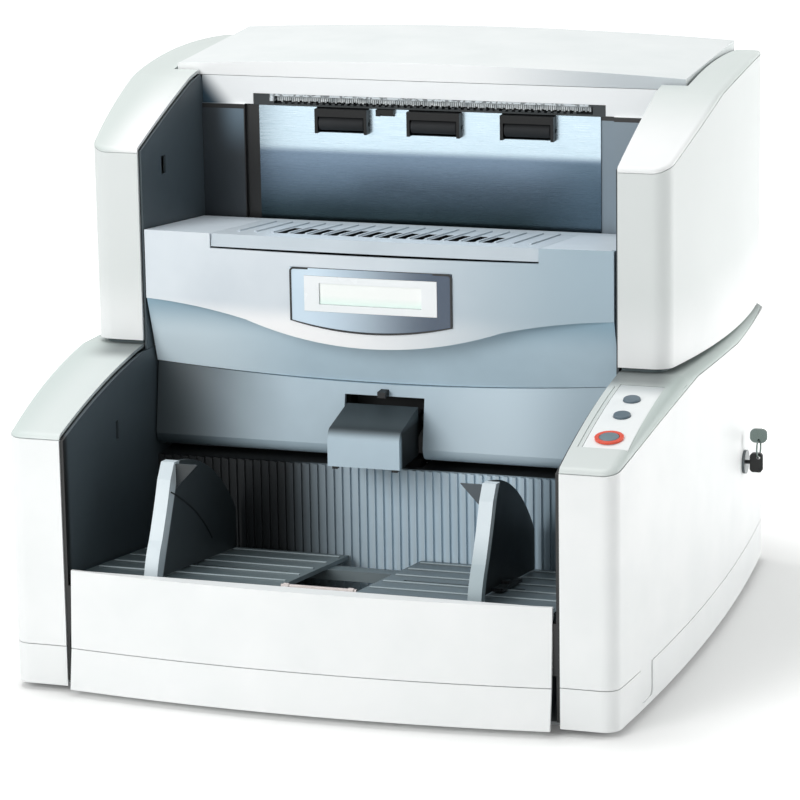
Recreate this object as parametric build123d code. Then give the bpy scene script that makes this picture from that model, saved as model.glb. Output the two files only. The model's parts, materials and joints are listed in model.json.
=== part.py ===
from build123d import *
import math
import os

os.makedirs("parts", exist_ok=True)

# Desktop production document scanner: a wide base with two arms, a narrower
# upper housing set back on it, a hinged feed unit between the columns and a
# lifting feed table with two paper guides below it.
# Working axes: X to the viewer's right from the plane of symmetry, Y backwards
# from the fronts of the base columns, Z up from the lower edge of the housing.

# General
wall = 3.0
seam = 0.8
face_gap = 0.3
foot_height = 6.0
foot_radius = 14.0

# Cavity between the side columns, and what stands beside and in it
cavity_half = 216.8
cavity_wall = 3.0
upper_wall = 2.0
cover_gap = 0.2
column_inner_half = cavity_half + cavity_wall + cover_gap
upper_column_inner_half = cavity_half + upper_wall + cover_gap
panel_gap = 3.2
panel_half = cavity_half - panel_gap
unit_gap = 1.6
unit_half = cavity_half - unit_gap
table_gap = 2.8
table_half = cavity_half - table_gap

# Base housing, in plan
column_width = 48.0
side_bulge = 13.0
back_bulge = 1.0
base_front_half = column_inner_half + column_width
base_widest_half = base_front_half + side_bulge
base_widest_y = 230.0
base_back_half = base_front_half + back_bulge
housing_depth = 555.0
base_corner = 14.0
back_corner = 8.0
back_return = 18.0
back_return_half = base_front_half - back_return
margin = 40.0

# Base housing, in height
skirt_top = 36.0
recess_y = (62.0, 95.0)
recess_floor = 5.0
recess_depth = 1.2
base_column_top = 218.0
base_seam_mid = (110.0, 236.5)
base_seam_high = (235.0, 249.0)
base_seam_dip = (330.0, 245.0)
base_seam_low = (400.0, 241.0)
base_seam_back = 243.0
arm_nose_top = 222.0
arm_rise = (95.0, 244.5)
arm_crest = (197.0, 258.0)
arm_back_top = 246.0
arm_edge_round = 8.0

# Upper housing
upper_front_y = 197.0
upper_column_width = 44.0
upper_side_bulge = 14.0
upper_back_bulge = 2.0
upper_widest_y = 360.0
upper_half = upper_column_inner_half + upper_column_width
upper_widest_half = upper_half + upper_side_bulge
upper_back_half = upper_half + upper_back_bulge
upper_corner = 17.0
upper_seam_front = 431.0
upper_seam_corner = ((202.0, 434.2), (210.0, 437.0))
upper_seam_arc = ((277.0, 459.0), (345.0, 477.3))
upper_seam_crest = ((housing_depth - 125.0, 484.3), 481.0)
upper_nose_top = 436.0
upper_rise = ((277.0, 463.0), (333.0, 479.5))
upper_crest = ((housing_depth - 125.0, 488.5), 485.0)
upper_edge_round = 3.5
upper_inner_round = 1.2
plinth_height = 4.0
plinth_inset = 6.0

# Openings for the sensors in the cavity's side walls, and the panel's bracket
lower_wall_front = 1.5
upper_wall_front = upper_front_y + 4.0
wall_drop = 4.5
lower_sensor_y = (121.0, 127.0)
lower_sensor_z = (189.0, 206.0)
upper_sensor_y = (249.5, 260.0)
upper_sensor_z = (403.5, 420.0)
bracket_reach = 10.8
bracket_y = (-3.0, 8.0)
bracket_z = (45.0, 90.0)

# Front panel and skirt between the base columns
panel_top = 104.0
panel_bulge = 14.0
panel_seam_end_y = -4.0
panel_lean = 5.0
skirt_end_y = -9.5
skirt_lean = 5.5
panel_flange = 12.0

# Feed table, in plan
table_front_y = 5.0
table_slope = 7.69
table_length = 211.0
table_wall_gap = 2.9

# Ribbed wall behind the feed table, and the deck on top of it
ribbed_y = table_front_y + table_length * math.cos(math.radians(table_slope)) + table_wall_gap
rib_depth = 2.5
rib_pitch = 7.7
rib_width = 3.6
ribbed_thickness = 6.0
deck_top = 152.0
deck_thickness = 4.0
feed_roller_y = ribbed_y + 30.0
feed_roller_radius = 14.0
feed_roller_z = deck_top + 3.0 - feed_roller_radius
feed_roller_half = 28.0
feed_wheel_x = (-16.0, 16.0)
feed_wheel_half = 10.0
transport_y = feed_roller_y + 75.0
cavity_back_y = transport_y + 30.0
transport_x = (-110.0, 110.0)
transport_half = 150.0
transport_wheel_half = 20.0
roller_room = 3.0
lug_half = 3.0
shaft_radius = 4.0
glass_y = (transport_y - 40.0, transport_y - 22.0)
glass_half = 165.0
glass_seat = 2.6
glass_ledge = 3.0
glass_slip = 0.3

# Feed table and its lift
table_front_z = 98.8
table_thickness = 4.0
table_notch_half = 34.0
table_rib_count = 6
table_rib_height = 1.2
lift_travel = 50.0
carriage_end = 9.0
lift_rod_x = table_half - carriage_end
lift_rod_y = ribbed_y + 45.0
lift_rod_radius = 5.0
running = 0.05
carriage_low = 46.0
carriage_height = 28.0
lift_arm_y = 190.0
lift_arm_width = 7.0
lift_slot_width = 9.0

# Paper guides on the feed table
guide_margin = 76.0
guide_inner = table_half - guide_margin
guide_strip_width = 12.0
guide_plate = 3.0
guide_strip_depth = 11.0
guide_top = 190.0
guide_in_travel = 84.0
guide_out_travel = 12.0
guide_key_y = 100.0
guide_key_width = 6.0
guide_key_length = 10.0
tab_reach = 20.0

# Feed unit between the upper columns
unit_front_y = 199.0
unit_bulge = 14.0
unit_top_front_z = 363.0
tray_slope = 6.05
unit_back_y = 350.0
wave_end_z = 301.0
wave_mid_z = 268.5
wave_turn = (118.0, 288.5)
front_plate_depth = 12.0
band_foot_y = 225.0
band_foot_z = 239.0
seam_dip = 10.0
lower_face_y = 213.0
lower_bulge = 9.0
lower_face_z = 173.0
unit_bottom_z = 158.0
unit_pin_y = 344.0
unit_pin_z = 335.0
unit_pin_radius = 5.0

# Display window in the feed unit's front
window_half = 74.0
window_top_z = 338.5
window_side_z = 291.0
window_dip_z = 282.0
bezel_half = 61.0
bezel_z = (300.0, 332.0)
screen_half = 47.0
screen_z = (306.5, 325.5)

# Pull-out tray on top of the feed unit
tray_half = 150.0
tray_length = 128.0
tray_thickness = 5.0
lip_height = 11.5
lip_depth = 4.0
tray_slip = 0.4
slot_floor = 1.2
rib_half = 1.1
slot_count = 13
slot_pitch = 15.8
slot_width = 9.5
slot_start = 24.0
slot_length = 52.0

# Pick head hanging in the lower panel's recess
head_half = 33.0
head_front_y = 158.0
head_low_z = 169.0
head_face_top_z = 191.0
head_brow_z = 200.0
head_rear_top_z = 210.5
head_pin_y = 236.0
head_pin_z = 196.0
head_pin_radius = 4.0
head_skin = 2.5
recess_half = 37.0
recess_top_z = 218.0
recess_back_y = 228.5
post_half = 4.0
post_rise = 6.0
pick_radius = 11.0
pick_y = 184.0
pick_z = 178.0

# Exit side of the upper cavity
fascia_y = 358.0
fascia_low_z = 452.0
exit_slot_half = 167.0
exit_slot_top_z = 462.0
plate_half = 162.0
plate_low_z = 343.5
plate_thickness = 1.5
plate_seat = 1.5
channel_width = 13.0
holder_pitch = 88.0
holder_shift = 7.5
holder_half = 25.0
holder_front_y = fascia_y - 7.0
holder_back_y = fascia_y + 8.0
holder_low_z = 428.0
exit_roller_radius = 6.5
exit_roller_half = 21.5
exit_roller_y = fascia_y - 0.5
exit_roller_z = 437.0
latch_x = (-48.0, -31.0)
latch_z = (445.0, 451.0)
latch_reach = 4.5
tooth_pitch = 6.0
tooth_width = 3.0
exit_axle_radius = 2.0
drive_y = fascia_y + 25.0
drive_z = 463.0
drive_radius = 9.0
drive_shaft_radius = 4.0

# Lid on top of the upper housing
lid_overlap = 23.2
lid_gap = 3.0
lid_half = cavity_half + lid_overlap
lid_front_y = fascia_y
lid_back_y = housing_depth - 3.0
lid_end_z = 487.5
lid_crown = 6.5
lid_rise = 7.0
lid_side = 9.5
lid_thickness = 3.0
lid_axis_y = housing_depth + 4.5
lid_axis_z = 478.0
lid_knuckle_radius = 4.0
lid_pin_radius = 2.0
lid_hinge_x = 135.0
lid_knuckle_length = 30.0

# Console on the right arm
console_inset = 9.5
console_width = 39.0
console_x = (column_inner_half + console_inset, column_inner_half + console_inset + console_width)
console_y = (38.0, 166.0)
console_drop = 0.4
console_thickness = 1.2
button_x = column_inner_half + 28.0
button_y = (132.0, 98.5)
button_radius = 7.3
start_y = 56.0
start_radius = 8.3
ring_outer = 12.2
button_slip = 0.35
button_rise = 1.6
button_depth = 9.0
groove_width = 1.2

# Lock and key on the right side
lock_y = 432.0
lock_z = 122.0
lock_radius = 9.0
key_blade = 1.8
key_bow_reach = 15.0
key_bow_height = 18.0
key_hole_x = 13.5
key_hole_rise = 5.0
key_ring_radius = 8.5
key_ring_wire = 0.8

# Rear connections
inlet_x = -170.0
inlet_z = 60.0
inlet_width = 28.0
inlet_height = 20.0
rocker_x = -125.0
rocker_half = 10.0
rocker_height = 7.0
rocker_pin_y = housing_depth - 6.0
rocker_pin_radius = 1.5
port_x = -60.0
port_width = 12.0
port_height = 11.0

kept = {}


def keep(name, shape):
    kept[name] = shape.solids()


# The finished part stands on its feet, centred on the box that holds it
def save_all():
    boxes = [solid.bounding_box() for solids in kept.values() for solid in solids]
    middle_x = (min(box.min.X for box in boxes) + max(box.max.X for box in boxes)) / 2
    middle_y = (min(box.min.Y for box in boxes) + max(box.max.Y for box in boxes)) / 2
    shift = (-middle_x, -middle_y, -min(box.min.Z for box in boxes))
    for name, solids in kept.items():
        placed = [solid.moved(Location(shift)) for solid in solids]
        whole = placed[0] if len(placed) == 1 else Compound(children=placed)
        export_step(whole, "parts/" + name + ".step")
    print(len(kept), "nodes, moved by", [round(value, 4) for value in shift])


# Closed outline: each step is a point, or a pair (point on the arc, its end)
def outline(start, *steps):
    edges = []
    here = start
    for step in steps:
        if isinstance(step[0], tuple):
            edges.append(ThreePointArc(here, step[0], step[1]))
            here = step[1]
        else:
            edges.append(Line(here, step))
            here = step
    if math.dist(here, start) > 1e-6:
        edges.append(Line(here, start))
    return make_face(edges)


def block(x0, x1, y0, y1, z0, z1):
    centre = Location(((x0 + x1) / 2, (y0 + y1) / 2, (z0 + z1) / 2))
    return centre * Box(abs(x1 - x0), abs(y1 - y0), abs(z1 - z0))


# Solid between two x values with a given outline in Y and Z
def side_prism(face, x0, x1):
    return extrude(Plane.YZ.offset(min(x0, x1)) * face, amount=abs(x1 - x0), dir=(1, 0, 0))


# Solid between two z values with a given outline in X and Y
def plan_prism(face, z0, z1):
    return extrude(Plane.XY.offset(z0) * face, amount=z1 - z0, dir=(0, 0, 1))


# Solid between two y values with a given outline in X and Z
def front_prism(face, y0, y1):
    return extrude(Plane.XZ.offset(-y0) * face, amount=y1 - y0, dir=(0, 1, 0))


def rod_x(x0, x1, y, z, radius):
    turned = Location(((x0 + x1) / 2, y, z), (0, 90, 0))
    return turned * Cylinder(radius, abs(x1 - x0))


def rod_z(x, y, z0, z1, radius):
    return Location((x, y, (z0 + z1) / 2)) * Cylinder(radius, z1 - z0)


def mirrored(shape):
    return mirror(shape, about=Plane.YZ)


# Plan outlines of the two housings, drawn smaller by an inset
def base_plan(inset):
    low = inset
    high = housing_depth - inset
    front = base_front_half - inset
    wide = base_widest_half - inset
    back = base_back_half - inset
    face = outline((-front, low), (front, low), ((wide, base_widest_y), (back, high)),
                   (-back, high), ((-wide, base_widest_y), (-front, low)))
    corners = face.vertices().sort_by(Axis.Y)
    face = fillet(corners[:2], base_corner - inset)
    corners = face.vertices().sort_by(Axis.Y)
    return fillet(corners[-2:], max(back_corner - inset, 1.0))


def upper_plan(inset):
    low = upper_front_y + inset
    high = housing_depth - inset
    front = upper_half - inset
    wide = upper_widest_half - inset
    back = upper_back_half - inset
    face = outline((-front, low), (front, low), ((wide, upper_widest_y), (back, high)),
                   (-back, high), ((-wide, upper_widest_y), (-front, low)))
    corners = face.vertices().sort_by(Axis.Y)
    face = fillet(corners[:2], upper_corner - inset)
    corners = face.vertices().sort_by(Axis.Y)
    return fillet(corners[-2:], max(back_corner - inset, 1.0))


# Sideways reach of the bulging side at a distance from the front
def side_reach(y):
    edge = ThreePointArc((base_front_half, 0), (base_widest_half, base_widest_y),
                         (base_back_half, housing_depth))
    low = 0.0
    high = 1.0
    for _ in range(30):
        middle = (low + high) / 2
        if (edge @ middle).Y < y:
            low = middle
        else:
            high = middle
    return (edge @ low).X


lock_face_x = side_reach(lock_y - lock_radius - 2) + 0.05


# Side profiles, from a floor up to a line lowered by a drop
def base_seam_profile(floor, drop):
    far = housing_depth + margin
    return outline((-40, floor), (-40, base_column_top - drop), (0, base_column_top - drop),
                   ((base_seam_mid[0], base_seam_mid[1] - drop),
                    (base_seam_high[0], base_seam_high[1] - drop)),
                   ((base_seam_dip[0], base_seam_dip[1] - drop),
                    (base_seam_low[0], base_seam_low[1] - drop)),
                   (far, base_seam_back - drop), (far, floor))


def arm_top_profile(floor, drop):
    far = housing_depth + 5
    return outline((-40, floor), (-40, arm_nose_top - drop), (0, arm_nose_top - drop),
                   ((arm_rise[0], arm_rise[1] - drop), (arm_crest[0], arm_crest[1] - drop)),
                   (far, arm_back_top - drop), (far, floor))


def upper_seam_profile(floor, drop):
    far = housing_depth + 5
    near = upper_front_y - 0.5
    first = upper_seam_corner
    then = upper_seam_arc
    crest = upper_seam_crest
    return outline((near - 20, floor), (near - 20, upper_seam_front - drop),
                   (near, upper_seam_front - drop),
                   ((first[0][0], first[0][1] - drop), (first[1][0], first[1][1] - drop)),
                   ((then[0][0], then[0][1] - drop), (then[1][0], then[1][1] - drop)),
                   ((crest[0][0], crest[0][1] - drop), (far, crest[1] - drop)), (far, floor))


def upper_top_profile(floor, drop):
    far = housing_depth + 5
    near = upper_front_y - 0.5
    rise = upper_rise
    crest = upper_crest
    return outline((near - 20, floor), (near - 20, upper_nose_top - drop),
                   (near, upper_nose_top - drop),
                   ((rise[0][0], rise[0][1] - drop), (rise[1][0], rise[1][1] - drop)),
                   ((crest[0][0], crest[0][1] - drop), (far, crest[1] - drop)),
                   (far, floor))


# The right-hand part of a hollow ring: column front, side and back return
def right_side_only(front_inner, z0, z1):
    far = base_widest_half + margin
    front_part = block(front_inner, far, -margin, base_widest_y + margin, z0, z1)
    back_part = block(back_return_half, far, base_widest_y + margin, housing_depth + margin, z0, z1)
    return front_part + back_part


# Base pieces
def bottom_pan():
    return plan_prism(base_plan(wall + 0.5), 2, 2 + wall)


def feet():
    across = base_front_half - 34
    places = [(x, y) for x in (-across, across) for y in (40, housing_depth - 40)]
    solids = []
    for x, y in places:
        foot = rod_z(x, y, -foot_height, 2, foot_radius)
        low_edge = foot.edges().filter_by(GeomType.CIRCLE).sort_by(Axis.Z)[0]
        solids.append(chamfer(low_edge, 1.5))
    return Compound(children=solids)


def base_ring(z0, z1):
    return plan_prism(base_plan(0), z0, z1) - plan_prism(base_plan(wall), z0 - 1, z1 + 1)


# Side of the skirt, with a shallow rounded recess near its front
def side_skirt():
    skirt_ring = base_ring(0, skirt_top - seam) & right_side_only(column_inner_half, -5, skirt_top)
    low = recess_floor
    y0, y1 = recess_y
    corner = 7.0
    face = outline((y0, skirt_top + 5), (y0, low + corner),
                   ((y0 + 2, low + 2), (y0 + corner, low)), (y1 - corner, low),
                   ((y1 - 2, low + 2), (y1, low + corner)), (y1, skirt_top + 5))
    recess = side_prism(face, base_front_half - 20, base_widest_half + 20)
    return skirt_ring - (recess - plan_prism(base_plan(recess_depth), -10, skirt_top + 10))


def side_cover():
    top = base_seam_high[1] + 2
    ring = base_ring(skirt_top, top) & right_side_only(column_inner_half, 0, top)
    cover = ring & side_prism(base_seam_profile(0, 0), column_inner_half - 1, base_widest_half + margin)
    lock_hole = rod_x(lock_face_x - 20, lock_face_x + 20, lock_y, lock_z, lock_radius + face_gap)
    return cover, cover - lock_hole


def arm_blank(inset, drop, round_size, floor):
    plan = plan_prism(base_plan(inset), floor, arm_crest[1] + 10)
    blank = plan & side_prism(arm_top_profile(floor - 1, drop), column_inner_half, base_widest_half + margin)
    edges = [e for e in blank.edges() if e.center().Z > floor + 20
             and (e @ 0.5).X > column_inner_half + 2 and (e @ 0.5).Y < housing_depth - 20
             and e.length > 5]
    top_edges = [e for e in edges if abs((e @ 0.02).Z - (e @ 0.98).Z) > 0.01 or (e @ 0.5).Y < 20]
    top_edges = [e for e in top_edges if (e @ 0.5).Z > arm_nose_top - drop - 1]
    return fillet(top_edges, round_size)


def arm_cover():
    outer = arm_blank(0, 0, arm_edge_round, 150)
    inner = arm_blank(wall, wall, arm_edge_round - wall, 140)
    shell = outer - inner
    shell -= side_prism(base_seam_profile(100, -seam), column_inner_half - 5, base_widest_half + margin)
    return shell - block(cavity_half, back_return_half, housing_depth - wall - 0.5, housing_depth + margin,
                         arm_nose_top - 22, arm_crest[1] + margin)


def console_band(inset, drop, thickness):
    band = arm_top_profile(150, drop) - arm_top_profile(140, drop + thickness)
    solid = side_prism(band, console_x[0] + inset, console_x[1] - inset)
    window = block(console_x[0] + inset, console_x[1] - inset,
                   console_y[0] + inset, console_y[1] - inset, arm_nose_top - 22, arm_crest[1] + 22)
    return solid & window


# Slope of the arm's top under the console, and a rod square to it
arm_fall = (arm_crest[1] - arm_nose_top) / arm_crest[0]
console_tilt = math.degrees(math.atan(arm_fall))


# Height of the arm's top at a distance from the front, from its arc
def arm_top_z(y):
    edge = ThreePointArc((0, arm_nose_top), arm_rise, arm_crest)
    low = 0.0
    high = 1.0
    for _ in range(30):
        middle = (low + high) / 2
        if (edge @ middle).X < y:
            low = middle
        else:
            high = middle
    return (edge @ low).Y


def console_rod(y, low, high, radius):
    place = Location((button_x, y, arm_top_z(y)), (console_tilt, 0, 0))
    return place * Location((0, 0, (low + high) / 2)) * Cylinder(radius, high - low)


def console_holes():
    holes = console_rod(start_y, -20, 20, start_radius + button_slip)
    for y in button_y:
        holes += console_rod(y, -20, 20, button_radius + button_slip)
    return holes


def console_groove():
    bottom = arm_top_profile(150, -1) - arm_top_profile(140, 0.8)
    strip = side_prism(bottom, console_x[0] - 4, console_x[0] - 4 + groove_width)
    return strip & block(column_inner_half, console_x[1], console_y[0], console_y[1] - 6,
                         arm_nose_top - 22, arm_crest[1] + 22)


def console_plate():
    plate = console_band(face_gap, console_drop, console_thickness)
    return plate - console_holes() - start_ring()


def console_pocket():
    return console_band(0, -2, console_drop + console_thickness + 2)


def start_ring():
    ring = console_rod(start_y, -console_drop, 1.2, ring_outer)
    return ring - console_rod(start_y, -5, 5, start_radius + button_slip)


def push_button(y, radius):
    cap = console_rod(y, -button_depth, button_rise, radius)
    top_edge = cap.edges().filter_by(GeomType.CIRCLE).sort_by(Axis.Z)[-1]
    return fillet(top_edge, 0.8)


# Side wall of the lower cavity, with the bracket that carries the front panel
def lower_inner_wall():
    profile = arm_top_profile(wall + 2, wall_drop)
    plate = side_prism(profile, cavity_half, cavity_half + cavity_wall)
    plate = plate & block(cavity_half - 1, column_inner_half, lower_wall_front, cavity_back_y,
                          wall + 2, arm_crest[1] - wall_drop - 1)
    bracket = block(cavity_half - bracket_reach, cavity_half + 1, bracket_y[0], bracket_y[1],
                    bracket_z[0], bracket_z[1])
    in_front = leaning(arced_strip(panel_half, panel_seam_end_y - 20, panel_bulge, 20 + wall),
                       skirt_top, panel_top, panel_lean)
    in_front += block(panel_half - 0.1, cavity_half + 1, -margin, lower_wall_front, 0, panel_top)
    sensor = block(cavity_half - 1, column_inner_half, lower_sensor_y[0], lower_sensor_y[1],
                   lower_sensor_z[0], lower_sensor_z[1])
    return plate + (bracket - in_front) - sensor


# Strip in plan whose middle bulges forward, and its extrusion leaning back
def arced_strip(half, end_y, bulge, depth):
    return outline((-half, end_y), ((0, end_y - bulge), (half, end_y)), (half, end_y + depth),
                   ((0, end_y - bulge + depth), (-half, end_y + depth)))


def leaning(face, z0, z1, lean):
    rise = z1 - z0
    length = math.hypot(rise, lean)
    return extrude(Plane.XY.offset(z0) * face, amount=length, dir=Vector(0, lean, rise).normalized())


def front_panel():
    panel = leaning(arced_strip(panel_half, panel_seam_end_y, panel_bulge, wall),
                    skirt_top, panel_top, panel_lean)
    end_y = panel_seam_end_y + panel_lean
    flange_face = outline((-panel_half, end_y), ((0, end_y - panel_bulge), (panel_half, end_y)),
                          (panel_half, end_y + 1), (-panel_half, end_y + 1))
    flange = plan_prism(flange_face, panel_top - wall, panel_top) - block(
        -panel_half - 1, panel_half + 1, table_front_y - 0.5, 40, 0, 200)
    return panel + flange


# Front skirt with a flange that runs back under the bottom pan
def front_skirt():
    front = leaning(arced_strip(panel_half, skirt_end_y, panel_bulge, wall),
                    0, skirt_top - seam, skirt_lean)
    half = panel_half - 8
    flange_face = outline((-half, skirt_end_y + 2), ((0, skirt_end_y + 2 - panel_bulge),
                                                     (half, skirt_end_y + 2)),
                          (half, 30), (-half, 30))
    return front + plan_prism(flange_face, 0, 2)


# A comb outline in plan, pulled up into a wall of vertical ribs
def ribbed_wall():
    half = cavity_half - face_gap
    count = int(2 * half / rib_pitch)
    start = -count * rib_pitch / 2
    points = [(-half, ribbed_y + rib_depth)]
    for index in range(count):
        left = start + index * rib_pitch + (rib_pitch - rib_width) / 2
        points += [(left, ribbed_y + rib_depth), (left, ribbed_y),
                   (left + rib_width, ribbed_y), (left + rib_width, ribbed_y + rib_depth)]
    points += [(half, ribbed_y + rib_depth), (half, ribbed_y + ribbed_thickness),
               (-half, ribbed_y + ribbed_thickness)]
    wall_body = plan_prism(make_face(Polyline(*points, close=True)), wall + 2, deck_top)
    low = carriage_low - 3
    high = carriage_low + carriage_height + lift_travel
    for x in (-lift_rod_x, lift_rod_x):
        wall_body -= block(x - lift_slot_width / 2, x + lift_slot_width / 2,
                           ribbed_y - 5, ribbed_y + 20, low, high)
    return wall_body


# Deck behind the ribbed wall, with windows for the rollers and the glass
def feed_deck():
    half = cavity_half - face_gap
    low = deck_top - deck_thickness
    deck = block(-half, half, ribbed_y + ribbed_thickness, cavity_back_y, low, deck_top)
    room = feed_roller_radius + roller_room
    side = feed_roller_half + roller_room
    deck -= block(-side, side, feed_roller_y - room, feed_roller_y + room, low - 1, deck_top + 1)
    deck -= block(-glass_half, glass_half, glass_y[0], glass_y[1], deck_top - glass_seat, deck_top + 1)
    deck -= block(-glass_half + glass_ledge, glass_half - glass_ledge, glass_y[0] + glass_ledge,
                  glass_y[1] - glass_ledge, low - 1, deck_top + 1)
    side = transport_wheel_half + roller_room
    for x in transport_x:
        deck -= block(x - side, x + side, transport_y - room, transport_y + room, low - 1, deck_top + 1)
    feed_lug = feed_roller_half + 9
    for x, y in ((-feed_lug, feed_roller_y), (feed_lug, feed_roller_y),
                 (-transport_half, transport_y), (transport_half, transport_y)):
        lug = block(x - lug_half, x + lug_half, y - 10, y + 10, feed_roller_z - 10, low)
        deck += lug - rod_x(x - 10, x + 10, y, feed_roller_z, shaft_radius + running)
    return deck


def roller_shaft(half, y, z, places, roller_half, radius):
    shaft = rod_x(-half, half, y, z, shaft_radius)
    for x in places:
        shaft += rod_x(x - roller_half, x + roller_half, y, z, radius)
    return shaft


def scan_glass():
    return block(-glass_half + glass_slip, glass_half - glass_slip, glass_y[0] + glass_slip,
                 glass_y[1] - glass_slip, deck_top - glass_seat, deck_top - 0.2)


def lift_rods():
    rods = [rod_z(x, lift_rod_y, 2 + wall, deck_top - deck_thickness, lift_rod_radius)
            for x in (-lift_rod_x, lift_rod_x)]
    return Compound(children=rods)


# Feed table, drawn level and then tipped down towards the back
table_place = Location((0, table_front_y, table_front_z), (-table_slope, 0, 0))


def feed_table():
    table = block(-table_half, table_half, 0, table_length, -table_thickness, 0)
    table -= block(-table_notch_half, table_notch_half, -1, table_length + 1, -30, 10)
    bar = block(-table_notch_half - 2, table_notch_half + 2, 1, 9, -table_thickness, -0.6)
    beam = block(-120, 120, 150, 174, -table_thickness - 9, -table_thickness)
    table = table + bar + beam
    spacing = (table_length - 30) / (table_rib_count - 1)
    for index in range(table_rib_count):
        y = 15 + index * spacing
        for x0, x1 in ((-table_half + 4, -table_notch_half - 4), (table_notch_half + 4, table_half - 4)):
            if abs(y - guide_key_y) > 7:
                table += block(x0, x1, y - 1.2, y + 1.2, -0.5, table_rib_height)
    slot_in = guide_inner - guide_in_travel - 1
    slot_out = guide_inner + guide_key_length + guide_out_travel + 1
    half_width = guide_key_width / 2 + face_gap
    for sign in (-1, 1):
        table -= block(sign * slot_in, sign * slot_out, guide_key_y - half_width,
                       guide_key_y + half_width, -table_thickness - 1, 5)
    return table_place * table


def table_carriage():
    low = carriage_low
    high = carriage_low + carriage_height
    end = lift_rod_x + carriage_end
    bar = block(-end, end, lift_rod_y - 13, lift_rod_y + 13, low, high)
    for x in (-lift_rod_x, lift_rod_x):
        bar -= rod_z(x, lift_rod_y, low - 1, high + 1, lift_rod_radius + running)
    under = table_front_z - table_thickness - 0.3
    fall = math.tan(math.radians(table_slope))
    near = lift_arm_y
    far = ribbed_y - 3
    arm_face = outline((near, under - fall * (near - table_front_y) - 0.2),
                       (far, under - fall * (far - table_front_y) - 0.2),
                       (lift_rod_y - 12, low + 12), (lift_rod_y - 12, low), (near, low))
    for x in (-lift_rod_x, lift_rod_x):
        bar += side_prism(arm_face, x - lift_arm_width / 2, x + lift_arm_width / 2)
    return bar


# Paper guide: a wide bright front strip with a thin curved side plate
def guide_right():
    fall = math.tan(math.radians(table_slope))

    def floor(y):
        return table_front_z - fall * (y - table_front_y) + table_rib_height + face_gap

    front_low = (10.0, floor(10.0))
    knee = (24.0, 129.0)
    shin = (14.5, 113.0)
    brow = (48.0, 177.0)
    thigh = (36.0, 151.0)
    crown = (58.0, guide_top)
    back = (206.0, 110.0)
    plate_face = outline(front_low, (shin, knee), (thigh, brow), crown, (66.0, guide_top - 1),
                         ((150.0, 160.0), back), (206.0, floor(206.0)))
    plate = side_prism(plate_face, guide_inner, guide_inner + guide_plate)
    deep = guide_strip_depth
    strip_face = outline(front_low, (shin, knee), (thigh, brow), crown, (crown[0] + deep, guide_top - 1),
                         (brow[0] + deep, brow[1]),
                         ((thigh[0] + deep, thigh[1]), (knee[0] + deep, knee[1])),
                         ((shin[0] + deep, shin[1]), (front_low[0] + deep, floor(front_low[0] + deep))))
    strip = side_prism(strip_face, guide_inner, guide_inner + guide_strip_width)
    tab_face = outline((guide_inner + 1, guide_top - 2), (guide_inner - tab_reach, guide_top - 2),
                       (guide_inner + 1, guide_top - 25))
    tab = front_prism(tab_face, crown[0] + 2, crown[0] + 4)
    key_y = table_front_y + guide_key_y * math.cos(math.radians(table_slope))
    key_block = table_place * block(guide_inner, guide_inner + guide_key_length,
                                    guide_key_y - guide_key_width / 2,
                                    guide_key_y + guide_key_width / 2,
                                    -table_thickness - 2.5, table_rib_height + 6)
    foot_face = outline((key_y - 30, floor(key_y - 30)), (key_y + 30, floor(key_y + 30)),
                        (key_y + 30, floor(key_y + 30) + 3), (key_y - 30, floor(key_y - 30) + 3))
    foot = side_prism(foot_face, guide_inner, guide_inner + guide_strip_width)
    return plate + strip + tab + foot + key_block


# Upper housing pieces
def upper_ring(z0, z1):
    return plan_prism(upper_plan(0), z0, z1) - plan_prism(upper_plan(wall), z0 - 1, z1 + 1)


def upper_side():
    far = base_widest_half + margin
    top = upper_crest[0][1] + margin
    ring = upper_ring(base_column_top - 18, top) & right_side_only(upper_column_inner_half, 0, top)
    cover = ring & side_prism(upper_seam_profile(100, 0), upper_column_inner_half - 1, far)
    return cover - side_prism(arm_top_profile(90, -plinth_height), upper_column_inner_half - 5, far)


# Dark strip that fills the joint between the base and the upper housing
def plinth():
    far = base_widest_half + margin
    top = arm_crest[1] + margin
    ring = plan_prism(upper_plan(plinth_inset), base_column_top - 18, top)
    ring -= plan_prism(upper_plan(plinth_inset + wall), base_column_top - 28, top + 10)
    strip = ring & right_side_only(upper_column_inner_half + 2, 0, top)
    strip = strip & side_prism(arm_top_profile(90, -plinth_height - 6), upper_column_inner_half, far)
    return strip - side_prism(arm_top_profile(80, -face_gap), upper_column_inner_half - 5, far + 10)


def upper_arm_blank(inset, drop, round_size, floor):
    plan = plan_prism(upper_plan(inset), floor, upper_crest[0][1] + 10)
    blank = plan & side_prism(upper_top_profile(floor - 1, drop), upper_column_inner_half,
                              upper_widest_half + margin)
    top_edges = [e for e in blank.edges() if (e @ 0.5).Z > upper_nose_top - drop - 1
                 and (e @ 0.5).X > upper_column_inner_half + 2
                 and (e @ 0.5).Y < housing_depth - 20 and e.length > 5]
    return fillet(top_edges, round_size)


def upper_arm():
    outer = upper_arm_blank(0, 0, upper_edge_round, 300)
    inner = upper_arm_blank(wall, wall, upper_inner_round, 290)
    inner -= block(cavity_half, lid_half + lid_gap + wall, lid_front_y - lid_gap - wall,
                   housing_depth + margin, upper_seam_front - margin, upper_crest[0][1] + margin)
    shell = outer - inner
    shell -= side_prism(upper_seam_profile(200, -seam), upper_column_inner_half - 5,
                        upper_widest_half + margin)
    return shell - block(cavity_half, lid_half + lid_gap, lid_front_y - lid_gap, housing_depth + margin,
                         upper_seam_front - margin, upper_crest[0][1] + margin)


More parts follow.
